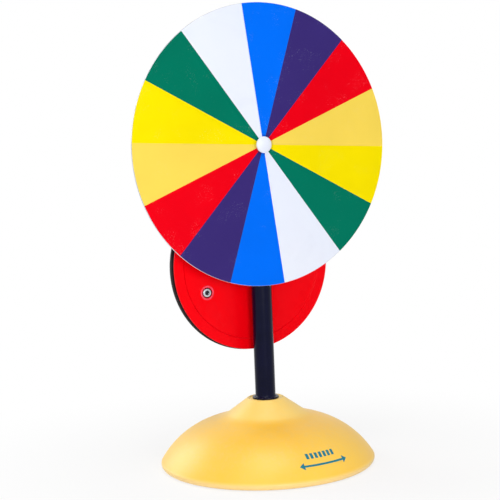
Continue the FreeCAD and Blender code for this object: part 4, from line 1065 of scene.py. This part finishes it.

# %% [markdown]
# ## Metals
# Zinc-plated parts are pale, with a faint blue and straw bloom and the rings of their turning.
# Ground steel is darker and has straighter, finer marks. The socket in the handle's screw is
# painted dark inside, as painted shade for the hollow. Brass, natural acetal and cast iron are
# inside the object, and show only when it is taken apart, but they get their own look too.

# %% Steel, brass, acetal and iron
METALS = {"zinc_steel": ((206, 209, 214), (216, 210, 194), WHEEL_AXIS, 0.26, 0.42),
          "zinc_flange": ((206, 209, 214), (216, 210, 194), DISC_AXIS, 0.26, 0.42),
          "bright_steel": ((192, 194, 198), (178, 180, 186), WHEEL_AXIS, 0.2, 0.34),
          "handle_steel": ((214, 216, 220), (196, 198, 204), CRANK, 0.16, 0.3),
          "insert_brass": ((214, 178, 104), (190, 148, 74), WHEEL_AXIS, 0.24, 0.4)}
for name, (clean, bloom, axis, smooth, rough_end) in METALS.items():
    tree, surface = finish(name, Metallic=1.0)
    skin = moulded(tree, 1800.0, 110.0, smooth, rough_end)
    turning = use(tree, "turned_rings", Centre=Vector(axis) * MM, Pitch=0.00016)
    hands = use(tree, "handling", Size=90.0, Strength=0.6)
    layers = [(skin["Flow"], bloom), (hands["Smudge"], [part * 0.72 for part in clean])]
    if name == "handle_steel":
        # Painted shade: the hexagon socket is darkened and made less metallic, as if in shadow.
        socket = ramp(tree, turning["Radius"], 0.0021, 0.0018)
        layers.append((socket, (10, 16, 34)))
        link(tree, surface, Metallic=ramp(tree, socket, 0.0, 1.0, 1.0, 0.2))
    painted(tree, surface, clean, *layers)
    gloss = plus(tree, skin["Roughness"], turning["Rings"], 0.12)
    link(tree, surface, Roughness=plus(tree, gloss, hands["Smudge"], 0.18))
    bump(tree, surface, plus(tree, turning["Rings"], skin["Height"], 0.3), 0.00003)

tree, surface = finish("bush_acetal", Specular_IOR_Level=0.4, Subsurface_Weight=0.05,
                       Subsurface_Scale=0.001)
skin = moulded(tree, 1300.0, 70.0, 0.36, 0.5)
rings = use(tree, "turned_rings", Centre=Vector(DISC_AXIS) * MM, Pitch=0.0003)["Rings"]
painted(tree, surface, (236, 233, 224), (skin["Flow"], (226, 222, 208)))
link(tree, surface, Roughness=skin["Roughness"])
bump(tree, surface, rings, 0.00003)

tree, surface = finish("ballast_iron", Metallic=0.6)
skin = moulded(tree, 420.0, 60.0, 0.6, 0.85)
painted(tree, surface, (52, 52, 55), (skin["Flow"], (74, 62, 54)))
link(tree, surface, Roughness=skin["Roughness"])
bump(tree, surface, skin["Height"], 0.0003)
print("finishes:", sorted(finishes))

# %% [markdown]
# ## Giving each piece its finish
# The new pieces were listed while they were made. The nodes that stay from the construction model
# are small or inside, and their shapes are right as they are, so only their material slots change.

# %% Assign finishes
SPECIAL = {"mark": "teal_ink", "flange": "zinc_flange", "crank_screw": "handle_steel",
           "pocket_ring": "ring_highlight"}
for piece, slot in made:
    piece.data.materials.clear()
    piece.data.materials.append(finishes[SPECIAL.get(piece.name, slot)])
KEPT = {"ballast_weight": "ballast_iron", "column_insert": "insert_brass",
        "column_washer": "zinc_steel", "column_bolt": "zinc_steel",
        "front_shaft_bush": "bush_acetal", "rear_shaft_bush": "bush_acetal",
        "axle_saddle_washer": "zinc_steel", "axle_spacer": "black_plastic",
        "axle_sleeve": "bright_steel", "wheel_bush": "bush_acetal",
        "handle_sleeve": "handle_steel", "handle_end_washer": "zinc_steel",
        "handle_nut": "zinc_steel"}
for name, slot in KEPT.items():
    for material_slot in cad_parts[name].material_slots:
        material_slot.material = finishes[slot]
shown = [n for n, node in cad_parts.items() if not node.hide_render and n not in KEPT]
print("nodes left without a finish:", shown)

# %% Measure and finish
low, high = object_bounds()
print("visual box, mm:", [round(v / MM, 1) for v in (*low, *high)])
